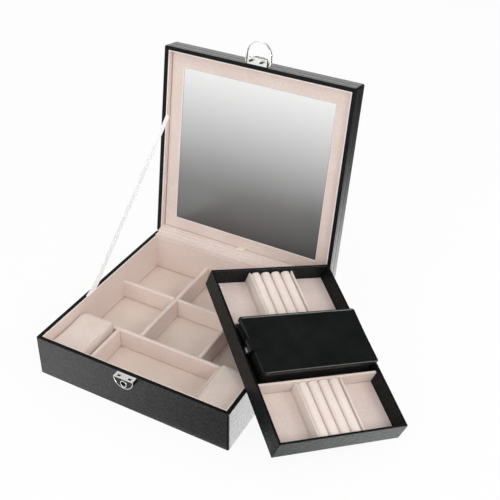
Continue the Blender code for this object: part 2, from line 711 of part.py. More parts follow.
def build_tray(finish, frame):
    """The tray, in its own frame: X is its width, Y its length and Z its height."""
    leather = finish["leather"]
    velvet = finish["velvet"]
    inner_low = TRAY_WALL + GAP
    inner_wide = TRAY_WIDTH - TRAY_WALL - GAP
    inner_long = TRAY_LENGTH - TRAY_WALL - GAP
    board("tray_left_wall", (0.0, 0.0, 0.0), (TRAY_WALL, TRAY_LENGTH, TRAY_HEIGHT), leather, frame)
    low = (TRAY_WIDTH - TRAY_WALL, 0.0, 0.0)
    board("tray_right_wall", low, (TRAY_WIDTH, TRAY_LENGTH, TRAY_HEIGHT), leather, frame)
    board("tray_front_wall", (inner_low, 0.0, 0.0), (inner_wide, TRAY_WALL, TRAY_HEIGHT), leather, frame)
    low = (inner_low, TRAY_LENGTH - TRAY_WALL, 0.0)
    board("tray_rear_wall", low, (inner_wide, TRAY_LENGTH, TRAY_HEIGHT), leather, frame)
    floor_top = GAP + TRAY_FLOOR
    low = (inner_low, inner_low, GAP)
    board("tray_floor", low, (inner_wide, inner_long, floor_top), leather, frame)

    pad_low = floor_top + GAP
    pad_top = pad_low + TRAY_PAD
    first = TRAY_WALL + GAP + TRAY_END_BAY
    second = TRAY_LENGTH - first
    low = (inner_low, first, pad_low)
    high = (inner_wide, first + TRAY_PARTITION, TRAY_PARTITION_TOP)
    board("tray_front_partition", low, high, leather, frame)
    low = (inner_low, second - TRAY_PARTITION, pad_low)
    board("tray_rear_partition", low, (inner_wide, second, TRAY_PARTITION_TOP), leather, frame)
    pads = (
        ("tray_front_pad", inner_low, first - GAP),
        ("tray_middle_pad", first + TRAY_PARTITION + GAP, second - TRAY_PARTITION - GAP),
        ("tray_rear_pad", second + GAP, inner_long),
    )
    for name, near, far in pads:
        board(name, (inner_low, near, pad_low), (inner_wide, far, pad_top), velvet, frame)
    blocks = (
        ("front_ring_rolls", inner_low, first - GAP),
        ("rear_ring_rolls", second + GAP, inner_long),
    )
    for name, near, far in blocks:
        shape = prism_shape(roll_outline(pad_top + GAP), near + GAP, far - GAP, along_y)
        add_object(name, shape, velvet, frame)


def roll_outline(foot):
    """One foam block seen from its end: a lip, four round-topped rolls and a lip, with slots between."""
    top = foot + ROLL_HEIGHT
    slot_floor = foot + ROLL_BASE
    half = (ROLL_PITCH - ROLL_SLOT) / 2
    start = ROLL_BLOCK_START
    lip_top = top - half / 2
    points = [(start, foot), (start, lip_top), (start + ROLL_LIP, lip_top), (start + ROLL_LIP, slot_floor)]
    for roll in range(ROLL_COUNT):
        middle = start + ROLL_LIP + ROLL_SLOT + half + roll * ROLL_PITCH
        points.append((middle - half, slot_floor))
        points += arc((middle, top - half), -half, half, 0.0, math.pi, ROLL_ARC_STEPS)
        points.append((middle + half, slot_floor))
    end = start + ROLL_LIP + ROLL_SLOT + ROLL_COUNT * ROLL_PITCH
    points += [(end, slot_floor), (end, lip_top), (end + ROLL_LIP, lip_top), (end + ROLL_LIP, foot)]
    return points


def build_case(finish, frame):
    """The travel case in the tray's middle bay: a hollow body, its flap, tab and snap."""
    leather = finish["smooth_leather"]
    foot = GAP + TRAY_FLOOR + GAP + TRAY_PAD + GAP
    middle = TRAY_LENGTH / 2
    end = CASE_START + CASE_LENGTH
    low = (CASE_START + CASE_BODY_INSET, middle - CASE_WIDTH / 2 + CASE_BODY_INSET)
    high = (end - CASE_BODY_INSET, middle + CASE_WIDTH / 2 - CASE_BODY_INSET)
    body_top = foot + CASE_BODY_HEIGHT
    body = add_object(
        "case_body",
        prism_shape(rounded_rectangle(low, high, CASE_CORNER), foot, body_top, along_z),
        leather,
        frame,
    )
    room = rounded_rectangle(
        (low[0] + CASE_WALL, low[1] + CASE_WALL),
        (high[0] - CASE_WALL, high[1] - CASE_WALL),
        CASE_CORNER - CASE_WALL,
    )
    hollow = prism_shape(room, foot + CASE_WALL, body_top + OVERRUN, along_z)
    boolean(body, cutter("case_room", hollow, frame), "DIFFERENCE")

    flap_low = body_top + GAP
    flap_top = flap_low + CASE_FLAP
    low = (CASE_START, middle - CASE_WIDTH / 2)
    high = (end, middle + CASE_WIDTH / 2)
    outline = rounded_rectangle(low, high, CASE_CORNER)
    flap = prism_shape(outline, flap_low, flap_top, along_z)
    bmesh.ops.recalc_face_normals(flap, faces=flap.faces)
    rim = [edge for edge in flap.edges if abs(edge.verts[0].co.z - edge.verts[1].co.z) < GAP]
    bmesh.ops.bevel(flap, geom=rim, offset=CASE_FLAP / 4, segments=2, affect="EDGES")
    add_object("case_flap", flap, leather, frame)

    tab_half = CASE_TAB_WIDTH / 2
    over = flap_top + GAP + CASE_TAB_THICK / 2
    out = CASE_START - CASE_TAB_OUT
    path = [
        Vector((CASE_START + CASE_TAB_ON_TOP, over)),
        Vector((CASE_START, over)),
        Vector((out + CASE_TAB_OUT / 4, over - CASE_TAB_OUT / 4)),
        Vector((out, over - CASE_TAB_OUT)),
        Vector((out, over - CASE_TAB_DROP)),
    ]
    shape = prism_shape(strip_outline(path, CASE_TAB_THICK), middle - tab_half, middle + tab_half, along_y)
    add_object("case_tab", shape, leather, frame, smooth=False)
    snap_back = out - CASE_TAB_THICK / 2 - GAP
    snap_centre = (middle, over - CASE_TAB_DROP + SNAP_FROM_END)
    snap = round_bar(SNAP_RADIUS, snap_back - SNAP_HEIGHT, snap_back, along_x, snap_centre)
    add_object("case_snap", snap, finish["chrome"], frame)


def main():
    for old in list(bpy.data.objects):
        bpy.data.objects.remove(old, do_unlink=True)
    finish = {
        "leather": material("black_leatherette", (0.018, 0.019, 0.019), 0.45),
        "smooth_leather": material("smooth_black_leatherette", (0.012, 0.012, 0.012), 0.35),
        "velvet": material("pink_velvet", (0.68, 0.51, 0.46), 0.9),
        "board": material("grey_board", (0.35, 0.33, 0.31), 0.9),
        "mirror": material("mirror_glass", (0.85, 0.86, 0.86), 0.05, 1.0),
        "chrome": material("chrome", (0.75, 0.75, 0.75), 0.15, 1.0),
        "ribbon": material("cream_ribbon", (0.86, 0.82, 0.76), 0.7),
    }
    base = frame_empty("base_frame", Matrix.Identity(4))
    hinge = Matrix.Translation((0.0, HALF_DEPTH, BASE_HEIGHT)) @ Matrix.Rotation(-LID_OPEN, 4, "X")
    lid = frame_empty("lid_frame", hinge)
    turn = (
        Matrix.Rotation(TRAY_SLOPE, 4, "Y")
        @ Matrix.Rotation(TRAY_TIP, 4, "X")
        @ Matrix.Rotation(TRAY_SPIN, 4, "Z")
    )
    rear = Vector((HALF_WIDTH - TRAY_REAR_INSIDE, HALF_DEPTH + TRAY_REAR_BEHIND, 0.0))
    corner = rear - turn.to_3x3() @ Vector((TRAY_WIDTH, TRAY_LENGTH, 0.0))
    corner.z = GAP - (turn.to_3x3() @ Vector((TRAY_WIDTH, 0.0, 0.0))).z
    tray = frame_empty("tray_frame", Matrix.Translation(corner) @ turn)
    bpy.context.view_layer.update()

    build_base(finish, base)
    build_dividers(finish, base)
    build_pillows(finish, base)
    build_lock(finish, base)
    build_lid(finish, lid)
    build_mirror(finish, lid)
    build_hasp(finish, lid)
    build_hinge_cloth(finish, base)
    build_ribbon(finish, base)
    build_tray(finish, tray)
    build_case(finish, tray)
    bpy.context.view_layer.update()


main()
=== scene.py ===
"""Looks of the tiered jewelry box: leatherette shells, velvet linings, pillows, ring rolls,
mirror, plated lock and hasp, ribbon stay and travel case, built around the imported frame."""
import json
import math

import bpy
from mathutils import Matrix, Vector

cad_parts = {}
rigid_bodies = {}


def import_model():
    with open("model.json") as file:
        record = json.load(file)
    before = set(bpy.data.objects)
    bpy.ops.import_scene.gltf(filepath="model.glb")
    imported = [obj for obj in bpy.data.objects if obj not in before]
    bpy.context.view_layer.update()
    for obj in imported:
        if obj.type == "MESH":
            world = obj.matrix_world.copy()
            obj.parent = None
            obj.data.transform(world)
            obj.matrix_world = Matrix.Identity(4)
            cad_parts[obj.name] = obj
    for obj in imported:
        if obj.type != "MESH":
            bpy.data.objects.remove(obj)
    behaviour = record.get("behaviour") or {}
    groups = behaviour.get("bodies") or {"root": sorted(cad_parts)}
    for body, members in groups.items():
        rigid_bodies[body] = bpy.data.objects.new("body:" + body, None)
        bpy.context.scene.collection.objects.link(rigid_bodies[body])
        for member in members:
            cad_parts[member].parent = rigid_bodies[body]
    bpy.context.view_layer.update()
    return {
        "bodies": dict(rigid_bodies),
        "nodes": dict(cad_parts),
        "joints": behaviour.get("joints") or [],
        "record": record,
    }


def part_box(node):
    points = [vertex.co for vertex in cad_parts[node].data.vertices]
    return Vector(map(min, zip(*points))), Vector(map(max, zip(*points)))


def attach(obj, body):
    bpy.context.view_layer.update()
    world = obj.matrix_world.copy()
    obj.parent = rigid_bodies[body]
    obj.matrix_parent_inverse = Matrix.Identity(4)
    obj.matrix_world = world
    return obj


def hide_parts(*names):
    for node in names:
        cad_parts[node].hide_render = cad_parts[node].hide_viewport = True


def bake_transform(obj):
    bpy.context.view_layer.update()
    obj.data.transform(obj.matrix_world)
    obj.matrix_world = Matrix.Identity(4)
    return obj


MM = 0.001
SAME = 0.01  # two places this near, in millimetres, are one
PAST = 1.0  # how far a cutter reaches past what it cuts, in millimetres
FACING = 0.9  # the share of a normal along an axis in a face that looks that way
LARGE_ROUND = 96  # sides of a large round, and of a small one
SMALL_ROUND = 48

# Base and lid, in millimetres
HALF = 130.0
BASE_HEIGHT = 56.2
BOARD = 5.0
LID_HEIGHT = 25.1
LID_START = 0.3
LID_TOP_BOARD = 3.7
LID_OPEN = math.radians(98.67)
EDGE_ROUND = 1.1
CORNER_ROUND = 2.2
LID_SEAMS = (3.4, 12.6)
SEAM_HALF = 0.5
SEAM_DIP = 0.5
SEAM_INSET = 0.03

# Lining, dividers and pillows
LINING = 1.3
LINING_OUT = 124.7
LINING_BACK = 118.0
LINING_FLOOR = 4.8
LINING_TOP = 55.6
LINING_ROUND = 0.45
LID_LINING = 1.5
LID_LINING_LOW = 0.9
LID_LINING_HIGH = 21.1
LID_LINING_BACK = 6.6
FOOT_ROUND = 0.6
FOOT_LIFT = 0.45
DIVIDER_TOP_ROUND = 1.9
LONG_EDGE = 10.0
JOINT_GAP = 0.3
PAD_ROUND = 0.5
PILLOW_TOP = 42.0
PILLOW_INSET = 0.5
PILLOW_CLEAR = 0.3
PILLOW_CORNER = 9.0
PILLOW_EDGE = 1.7
PILLOW_VOXEL = 1.5
PILLOW_PRESSURE = 4.0
PILLOW_CAP = 1.2
CLOTH_FRAMES = 20

# Mirror
MIRROR_FACE = 8.6
MIRROR_FRAME = 1.6
MIRROR_ROUND = 0.7
MIRROR_X = 122.5
MIRROR_NEAR = 8.2
MIRROR_FAR = 253.1
WINDOW_X = 105.0
WINDOW_NEAR = 24.5
WINDOW_FAR = 234.5
MIRROR_SEEN = (0.078, 0.290)  # heights of its foot and top, in metres
# Painted reflection of the mirror: greys from its foot to its top
MIRROR_PAINTED_REFLECTION = ((0.0, "#555656"), (0.27, "#7e7f7f"), (0.5, "#adaeae"), (0.76, "#d6d7d7"))
MIRROR_PAINTED_REFLECTION += ((1.0, "#f4f4f4"),)

# Lock, hasp and ring
LOCK_HALF = 13.2
LOCK_DEPTH = 8.5
LOCK_SHOULDER = 1.5
LOCK_DROP = 13.1
LOCK_TOP = 55.9
LOCK_BACK = -130.3
LOCK_SHELL = 1.2
LOCK_RIM = 1.0
LOCK_RECESS = 0.7
LOCK_INLAY = 0.3
LOCK_ROUND = 0.25
INLAY_GAP = 0.15
KEY_HEIGHT = 48.5
KEY_BORE = 3.2
BORE_LENGTH = 6.0
BORE_IN = 1.0
COLLAR_RADIUS = 3.75
COLLAR_THICK = 0.6
COLLAR_TAIL = 1.35
PRONG_X = 7.2
PRONG_OUT = 5.5
PRONG_WIDTH = 2.6
PRONG_DEPTH = 2.0
PRONG_LENGTH = 5.2
PRONG_ROOT = 0.4
PRONG_ROUND = 0.2
PRONG_NOTCH = 1.4
PRONG_NOTCH_HEIGHT = 1.8
SLOT_CLEAR = 0.4
SLOT_DEPTH = 3.0
HASP_LOW = 0.6
HASP_RISE = 11.0
RING_OUTER = 17.0
RING_THICK = 1.2
RING_BAND = 4.4
RING_ROUND = 0.35
RING_PIVOT = (-263.5, 4.6)
RING_REACH = 25.5

# Tray, in its own frame
TRAY_WIDTH = 161.8
TRAY_LENGTH = 236.9
TRAY_HEIGHT = 25.6
TRAY_WALL = 3.0
TRAY_ROUND = 0.7
TRAY_CORNER = (287.5, -20.2, 0.3)
TRAY_SLOPE = math.radians(19.84)
TRAY_TIP = math.radians(0.59)
TRAY_SPIN = math.radians(49.58)
TRAY_FIT = 0.3
PAD_TOP = 3.8
PAD_HIDDEN = 12.0
PARTITION_LOW = 2.6
PARTITION_TOP = 21.5
PARTITION = 3.0
PARTITION_ROUND = 1.2
BAY_NEAR = 3.3
BAY_FAR = 74.7
ROLL_START = 50.5
ROLL_LIP = 1.6
ROLL_PITCH = 13.7
ROLL_COUNT = 4
ROLL_SLOT = 1.2
ROLL_BASE = 4.0
ROLL_FOOT = 4.1
ROLL_HEIGHT = 17.2
ROLL_SHORT = 0.6
ROLL_SUNK = 1.0
ROLL_ROUND = 5.6
ROLL_END_ROUND = 0.8
LIP_ROUND = 0.75

# Travel case, in the tray's frame
CASE_LOW = 4.1
CASE_START = 8.5
CASE_LENGTH = 148.8
CASE_WIDTH = 76.5
CASE_END = CASE_START + CASE_LENGTH
CASE_NEAR = (TRAY_LENGTH - CASE_WIDTH) / 2
CASE_FAR = CASE_NEAR + CASE_WIDTH
CASE_INSET = 2.4
CASE_BODY = 24.5
CASE_WALL = 1.8
CASE_CORNER = 6.0
BODY_ROUND = 0.5
BODY_EAR = 8.0
FLAP_LOW = CASE_LOW + CASE_BODY + 0.3
FLAP_THICK = 5.0
FLAP_CORNERS = ((True, True, 4.0), (False, True, 2.6), (False, False, 4.0))
FLAP_HEM = 1.9
FLAP_HEM_DIP = (0.7, -0.5)
FLAP_TURN = 1.3
FLAP_STEPS = 14
FLAP_LIFT = 2.6
FLAP_REAR_LIFT = 2.2
FLAP_FOOT_LIFT = 0.35
FLAP_CROWN = 0.9
FLAP_EAR = 4.0
TAB_WIDTH = 15.0
TAB_NARROW = 0.72
TAB_OVER = 1.5
TAB_THICK = 0.8
TAB_ACROSS = 6
TAB_PATH = ((15.0, 0.0), (8.0, 0.0), (1.0, 0.0), (-1.2, -0.4), (-4.7, -1.5), (-5.2, -3.6))
TAB_PATH += ((-2.8, -15.5),)
TAB_SLOPE = 0.2
SNAP_RADIUS = 3.3
SNAP_THICK = 1.2
SNAP_PLACE = (-4.6, -11.6)
SNAP_RIM = 0.7
SNAP_DISH = (0.5, -0.35)
SNAP_ROUND = 0.3

# Hinge cloths, ribbon and pull loop
GUSSET_HALF = 124.4
GUSSET_BASE = ((LINING_BACK + 0.3, 54.6), (LINING_BACK + 0.8, 56.4), (125.0, 56.8))
GUSSET_LID = ((4.6, -0.6), (6.7, 4.0), (6.9, 11.0))
GUSSET_STEPS = 10
GUSSET_ACROSS = 60
GUSSET_THICK = 0.4
PLEAT_PITCH = 5.0
PLEAT_RISE = 1.5
PLEAT_LEAN = 0.35
PLEAT_WANDER = 0.25
PLEAT_WAVE = 34.0
RIBBON_X = -123.2
RIBBON_BEHIND = -124.85
RIBBON_TUCK = 63.5
RIBBON_FOOT = -27.9
RIBBON_HEAD = 162.7
RIBBON_HALF = 4.85
RIBBON_LAP = 8.0
RIBBON_TOP_LAP = 7.0
RIBBON_SPLAY = 0.7
RIBBON_THICK = 0.25
RIBBON_SPLAY_END = 1 / 7
RIBBON_TUCK_REACH = 8.0
RIBBON_TWIST = (0.1, 9.0)
RIBBON_ACROSS = 4
RIBBON_STEPS = 60
SPINE_OUT = 0.6
SPINE_LOW = 26.2
SPINE_HIGH = 19.0
SPINE_HALF = 127.0
SPINE_THICK = 0.6
SPINE_BEND = 0.1
SPINE_ACROSS = 12
SPINE_STEPS = 8
LOOP_HALF = 5.0
LOOP_THICK = 0.35
LOOP_ACROSS = 4
LOOP_PATH = ((-8.9, 11.0), (-8.9, 8.6), (-9.2, 5.5), (-9.6, 3.0), (-9.8, 1.0), (-9.3, 0.0))
LOOP_PATH += ((-8.6, 0.9), (-8.3, 3.0), (-8.1, 6.0), (-8.0, 8.6), (-8.0, 11.0))

# Camera, solved from the box's corners
CAMERA_PLACE = (0.4459, -0.6989, 0.7297)
CAMERA_YAW = math.radians(27.365)
CAMERA_PITCH = math.radians(35.141)
CAMERA_ROLL = math.radians(1.212)
CAMERA_LENS = 62.254
SENSOR = 36.0

# Light: lamps as name, place, aim, size and power
WHITE = (1.0, 1.0, 1.0, 1.0)
LAMP_AIM = (0.05, 0.0, 0.08)
LAMPS = (
    ("front_lamp", (-0.3, -1.9, 0.9), LAMP_AIM, 1.0, 9.0),
    ("overhead_lamp", (0.0, -0.6, 2.2), LAMP_AIM, 1.2, 5.5),
    ("top_lamp", (-0.75, 1.05, 1.45), (0.0, -0.13, 0.05), 0.55, 1.35),
    ("fill_lamp", (1.6, -1.1, 1.3), LAMP_AIM, 0.5, 8.0),
    ("right_lamp", (1.7, 0.3, 1.2), LAMP_AIM, 0.8, 7.0),
)
ROOM_LIGHT = 0.60
SHINE_SPREAD = 0.5

# What gloss sees of the horizon: brightness, and the reach along the sky's X or Z
CEILING_DARK = 0.10
CEILING_Z = (0.15, 0.62)
HORIZON_LEFT = 2.3
HORIZON_RIGHT = 0.5
HORIZON_X = (-0.25, 0.15)
HORIZON_FAR_RIGHT = 24.0
HORIZON_FAR_X = (0.80, 0.97)

# What gloss sees of the floor: brightness, and the reach along X or Y in metres
FLOOR_SIZE = 14.0
FLOOR_GLOW = 0.93
PAPER_LEFT = 1.2
PAPER_LEFT_X = (-0.16, 0.12)
PAPER_LEFT_Y = (-0.36, -0.20)
PAPER_FRONT = 0.4
PAPER_FRONT_Y = (-0.60, -0.36)
PAPER_DIM = 0.42
PAPER_DIM_Y = (0.40, 0.75)
PAPER_FAR_RIGHT = 3.0
PAPER_FAR_X = (0.117, 0.30)
PAPER_FAR_Y = (0.0, 0.25)
STRIP_BRIGHT = 4.3
STRIP_LEAN = 0.275
STRIP_MIDDLE = 0.132
STRIP_WIDTH = (0.04, 0.11)
STRIP_FRONT_Y = (-0.134, -0.124)
STRIP_BACK_Y = (0.0, 0.85)
STRIP_END_Y = (0.26, 0.60)

ALONG_Y = (math.pi / 2, 0.0, 0.0)
UPRIGHT = Matrix.Identity(4)
LID = Matrix.Translation((0.0, HALF * MM, BASE_HEIGHT * MM)) @ Matrix.Rotation(-LID_OPEN, 4, "X")


def tray_frame():
    """Where the leaning tray's own frame lies."""
    turn = (
        Matrix.Rotation(TRAY_SLOPE, 4, "Y")
        @ Matrix.Rotation(TRAY_TIP, 4, "X")
        @ Matrix.Rotation(TRAY_SPIN, 4, "Z")
    )
    corner = Vector(TRAY_CORNER) * MM - turn.to_3x3() @ Vector((TRAY_WIDTH * MM, 0.0, 0.0))
    return Matrix.Translation(corner) @ turn


TRAY = tray_frame()


def linear(hex_text):
    """A hex colour as linear RGBA."""
    channels = [int(hex_text[place : place + 2], 16) / 255 for place in (1, 3, 5)]
    curve = [c / 12.92 if c <= 0.04045 else ((c + 0.055) / 1.055) ** 2.4 for c in channels]
    return (*curve, 1.0)


def per_mm(size):
    """The texture scale at which one cell of a pattern is that many millimetres wide."""
    return 1000.0 / size


def add(tree, kind, settings=None, links=None):
    """A shader node with its settings, and its inputs set or linked."""
    made = tree.nodes.new("ShaderNode" + kind)
    for name, value in (settings or {}).items():
        setattr(made, name, value)
    for name, value in (links or {}).items():
        if isinstance(value, bpy.types.NodeSocket):
            tree.links.new(value, made.inputs[name])
        else:
            made.inputs[name].default_value = value
    return made


def start_material(name):
    """An empty node material, its tree and its Object coordinates."""
    finish = bpy.data.materials.new(name)
    finish.use_nodes = True
    tree = finish.node_tree
    tree.nodes.clear()
    place = add(tree, "TexCoord").outputs["Object"]
    return finish, tree, place


def end_material(tree, shader):
    """Give a material its surface."""
    add(tree, "OutputMaterial", links={"Surface": shader.outputs[0]})


def end_principled(tree, links):
    """Give a material a Principled surface."""
    end_material(tree, add(tree, "BsdfPrincipled", links=links))


def ramp(tree, factor, stops):
    """A colour ramp over a factor: stops are (place, hex)."""
    made = add(tree, "ValToRGB", links={"Fac": factor})
    points = made.color_ramp.elements
    while len(points) < len(stops):
        points.new(0.5)
    for point, (place, colour) in zip(points, stops):
        point.position = place
        point.color = linear(colour)
    return made.outputs["Color"]


def noise(tree, place, size, detail):
    """Noise in patches about that many millimetres wide."""
    links = {"Vector": place, "Scale": per_mm(size), "Detail": detail}
    return add(tree, "TexNoise", links=links).outputs["Fac"]


def bumped(tree, height, strength, depth):
    """A bumped normal from a height whose full depth is in millimetres."""
    links = {"Strength": strength, "Distance": depth * MM, "Height": height}
    return add(tree, "Bump", links=links).outputs["Normal"]


def span(tree, value, reach, ends, smooth=True):
    """A value mapped from its reach (low, high) to two ends, and held at them outside it."""
    style = {"interpolation_type": "SMOOTHSTEP"} if smooth else None
    links = {"Value": value, "From Min": reach[0], "From Max": reach[1]}
    links.update({"To Min": ends[0], "To Max": ends[1]})
    return add(tree, "MapRange", style, links).outputs["Result"]


def either(tree, flag, off, on):
    """One value where a flag is 0 and another where it is 1, and between them otherwise."""
    return span(tree, flag, (0.0, 1.0), (off, on), smooth=False)


def uneven(tree, factor, mean, share):
    """A value that wanders with a factor, by that share of its mean each way."""
    return either(tree, factor, mean * (1.0 - share), mean * (1.0 + share))


def maths(tree, operation, *values):
    """The result of an operation on values."""
    links = dict(enumerate(values))
    return add(tree, "Math", {"operation": operation}, links).outputs["Value"]


def velvet(name, dark, light):
    """Flocked velvet on board or foam: matt, with a short pile that lightens at a glance."""
    finish, tree, place = start_material(name)
    patches = noise(tree, place, 38.0, 2.0)
    # The real pile is finer than a pixel; it is drawn this coarse so that it shows.
    pile = noise(tree, place, 2.2, 3.0)
    mottle = add(tree, "Mix", links={"Factor": 0.6, 2: patches, 3: pile})
    end_principled(
        tree,
        {
            "Base Color": ramp(tree, mottle.outputs[0], ((0.36, dark), (0.64, light))),
            "Roughness": 0.92,
            "Sheen Weight": 0.25,
            "Sheen Roughness": 0.5,
            "Normal": bumped(tree, pile, 0.35, 0.6),
        },
    )
    return finish


def leatherette(name, colour, worn, roughness, grain, strength, gleam=0.5, patch=3.2):
    """PU leatherette, embossed on a cloth back: near black, semi-gloss, with a pebbled grain."""
    finish, tree, place = start_material(name)
    pebbles = add(tree, "TexVoronoi", links={"Vector": place, "Scale": per_mm(grain)})
    wander = noise(tree, place, patch, 3.0)
    height = maths(tree, "MULTIPLY_ADD", wander, 0.8, pebbles.outputs["Distance"])
    shine = tuple(gleam * (1.0 + way * SHINE_SPREAD * strength) for way in (-1, 1))
    end_principled(
        tree,
        {
            "Base Color": ramp(tree, wander, ((0.35, colour), (0.68, worn))),
            "Roughness": uneven(tree, wander, roughness, 0.15),
            "IOR": 1.44,
            "Specular IOR Level": span(tree, height, (0.4, 1.2), shine, smooth=False),
            "Normal": bumped(tree, height, strength, 0.5),
        },
    )
    return finish


def plated_metal(name, colour, roughness, metallic=1.0):
    """Plate on stamped steel with faint polishing marks: bright, or dark with painted shade and
    painted reflection.
    """
    finish, tree, place = start_material(name)
    rough = uneven(tree, noise(tree, place, 4.0, 2.0), roughness, 0.2)
    end_principled(
        tree, {"Base Color": linear(colour), "Metallic": metallic, "Roughness": rough}
    )
    return finish


def painted_reflection_mirror():
    """Silvered glass with a painted reflection: its colour falls from near white at its top to
    dark grey.
    """
    finish, tree, place = start_material("painted_reflection_mirror")
    height = add(tree, "SeparateXYZ", links={"Vector": place}).outputs["Z"]
    # The painted reflection, set into the base colour by height
    colour = ramp(tree, span(tree, height, MIRROR_SEEN, (0.0, 1.0), smooth=False), MIRROR_PAINTED_REFLECTION)
    end_principled(tree, {"Base Color": colour, "Metallic": 0.14, "Roughness": 0.2})
    return finish


def ribbon_cloth(name, colour, alpha, glow):
    """Woven polyester ribbon: fine ribs, and a faint painted glow, an even emission that lightens
    it though it is no lamp.
    """
    finish, tree, place = start_material(name)
    ribs = {"Vector": place, "Scale": per_mm(2.4)}
    weave = add(tree, "TexWave", {"bands_direction": "DIAGONAL"}, ribs)
    end_principled(
        tree,
        {
            "Base Color": linear(colour),
            "Roughness": 0.55,
            "Sheen Weight": 0.3,
            "Alpha": alpha,
            # Painted glow: the ribbon gives off light, though it is no lamp
            "Emission Color": WHITE,
            "Emission Strength": glow,
            "Normal": bumped(tree, weave.outputs["Fac"], 0.15, 0.1),
        },
    )
    return finish


def pressed_board():
    """Raw grey board: pulp flecks, dead matt."""
    finish, tree, place = start_material("pressed_board")
    pulp = noise(tree, place, 2.2, 6.0)
    colour = ramp(tree, pulp, ((0.35, "#8f8a84"), (0.65, "#a8a39c")))
    normal = bumped(tree, pulp, 0.3, 0.2)
    end_principled(tree, {"Base Color": colour, "Roughness": 0.95, "Normal": normal})
    return finish


def select_only(piece):
    """Select one object and make it active."""
    bpy.ops.object.select_all(action="DESELECT")
    piece.select_set(True)
    bpy.context.view_layer.objects.active = piece


def primitive(name, make, **settings):
    """A new mesh object from one of Blender's primitive operators, alone in the selection."""
    bpy.ops.object.select_all(action="DESELECT")
    make(**settings)
    piece = bpy.context.object
    piece.name = name
    return piece


def apply_place():
    """Bake the selected object's place, turn and scale into its mesh."""
    bpy.ops.object.transform_apply(location=True, rotation=True, scale=True)


def cylinder(name, sides, radius, depth, place, turn=(0.0, 0.0, 0.0), **settings):
    """A cylinder round a place, in millimetres, its turn not yet applied."""
    return primitive(
        name,
        bpy.ops.mesh.primitive_cylinder_add,
        vertices=sides,
        radius=radius * MM,
        depth=depth * MM,
        location=Vector(place) * MM,
        rotation=turn,
        **settings,
    )


def block(name, low, high):
    """A cube stretched between two corners, in millimetres."""
    low = Vector(low) * MM
    high = Vector(high) * MM
    piece = primitive(name, bpy.ops.mesh.primitive_cube_add, size=1.0, location=(low + high) / 2)
    piece.scale = high - low
    apply_place()
    return piece


def grid(name, across, steps):
    """A flat grid over a unit square, to be laid along a path."""
    make = bpy.ops.mesh.primitive_grid_add
    return primitive(name, make, x_subdivisions=across, y_subdivisions=steps, size=1.0)


def cad_corners(node):
    """The two corners of a CAD node's box, in millimetres."""
    low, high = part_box(node)
    return low / MM, high / MM


def pick(piece, kind, test):
    """Enter edit mode with the faces (middle, normal) or edges (start, end) that pass a test."""
    select_only(piece)
    bpy.ops.object.mode_set(mode="EDIT")
    bpy.ops.mesh.select_mode(type=kind)
    bpy.ops.mesh.select_all(action="DESELECT")
    bpy.ops.object.mode_set(mode="OBJECT")
    mesh = piece.data
    if kind == "FACE":
        for face in mesh.polygons:
            face.select = test(face.center / MM, face.normal)
    else:
        for edge in mesh.edges:
            start, end = (mesh.vertices[index].co / MM for index in edge.vertices)
            edge.select = test(start, end)
    bpy.ops.object.mode_set(mode="EDIT")


def done():
    """Leave edit mode."""
    bpy.ops.object.mode_set(mode="OBJECT")


def bisect(piece, place, normal, **settings):
    """Slice all of a piece on a plane through a place in millimetres."""
    select_only(piece)
    bpy.ops.object.mode_set(mode="EDIT")
    bpy.ops.mesh.select_all(action="SELECT")
    bpy.ops.mesh.bisect(plane_co=Vector(place) * MM, plane_no=normal, **settings)
    done()


def inset(width, depth=0.0):
    """Draw the picked faces in by a width, and out or in by a depth."""
    bpy.ops.mesh.inset(thickness=width * MM, depth=depth * MM)


def extrude(step):
    """Draw the selection out by a step in millimetres."""
    bpy.ops.mesh.extrude_region_move(TRANSFORM_OT_translate={"value": Vector(step) * MM})


def soften(piece, test, width, segments):
    """Round the edges that pass a test."""
    pick(piece, "EDGE", test)
    bpy.ops.mesh.bevel(offset=width * MM, segments=segments, affect="EDGES")
    done()


def modify(piece, kind, **settings):
    """Add a modifier and apply it."""
    select_only(piece)
    change = piece.modifiers.new(kind, kind)
    for name, value in settings.items():
        setattr(change, name, value)
    bpy.ops.object.modifier_apply(modifier=change.name)


def thicken(piece, width, offset=0.0):
    """Give a surface a thickness: about itself, or inward at an offset of -1."""
    modify(
        piece, "SOLIDIFY", thickness=width * MM, offset=offset, use_even_offset=offset != 0.0
    )


def round_edges(piece, width, segments=3, angle=30.0):
    """Round every edge sharper than an angle in degrees."""
    modify(
        piece,
        "BEVEL",
        width=width * MM,
        segments=segments,
        limit_method="ANGLE",
        angle_limit=math.radians(angle),
    )


def carve(piece, tool):
    """Cut a tool's shape out of a piece, and drop the tool."""
    modify(piece, "BOOLEAN", operation="DIFFERENCE", object=tool, solver="EXACT")
    bpy.data.objects.remove(tool, do_unlink=True)


def cut(piece, low, high):
    """Cut a block out of a piece."""
    carve(piece, block("cutter", low, high))


def settle(piece, finish, frame, smooth):
    """Put a finished mesh in the row frame, shade it and give it its material."""
    select_only(piece)
    piece.matrix_world = frame @ piece.matrix_world
    apply_place()
    piece.data.materials.clear()
    piece.data.materials.append(finish)
    bpy.ops.object.shade_smooth_by_angle(angle=math.radians(smooth))


def dress(piece, body, finish, nodes=(), frame=UPRIGHT, smooth=35.0):
    """Finish a rigid piece and hang it on its CAD body."""
    settle(piece, finish, frame, smooth)
    modify(piece, "WEIGHTED_NORMAL", keep_sharp=True)
    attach(piece, body)
    if nodes:
        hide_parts(*nodes)


def join(pieces, name):
    """Join several meshes into the first."""
    select_only(pieces[0])
    for piece in pieces[1:]:
        piece.select_set(True)
    bpy.ops.object.join()
    pieces[0].name = name
    return pieces[0]


def tube(name, low, high, wall):
    """A four-sided tube with its walls inside the corners, open at top and bottom."""
    piece = block(name, low, high)
    pick(piece, "FACE", lambda middle, normal: abs(normal.z) > FACING)
    bpy.ops.mesh.delete(type="FACE")
    done()
    thicken(piece, wall, -1.0)
    return piece


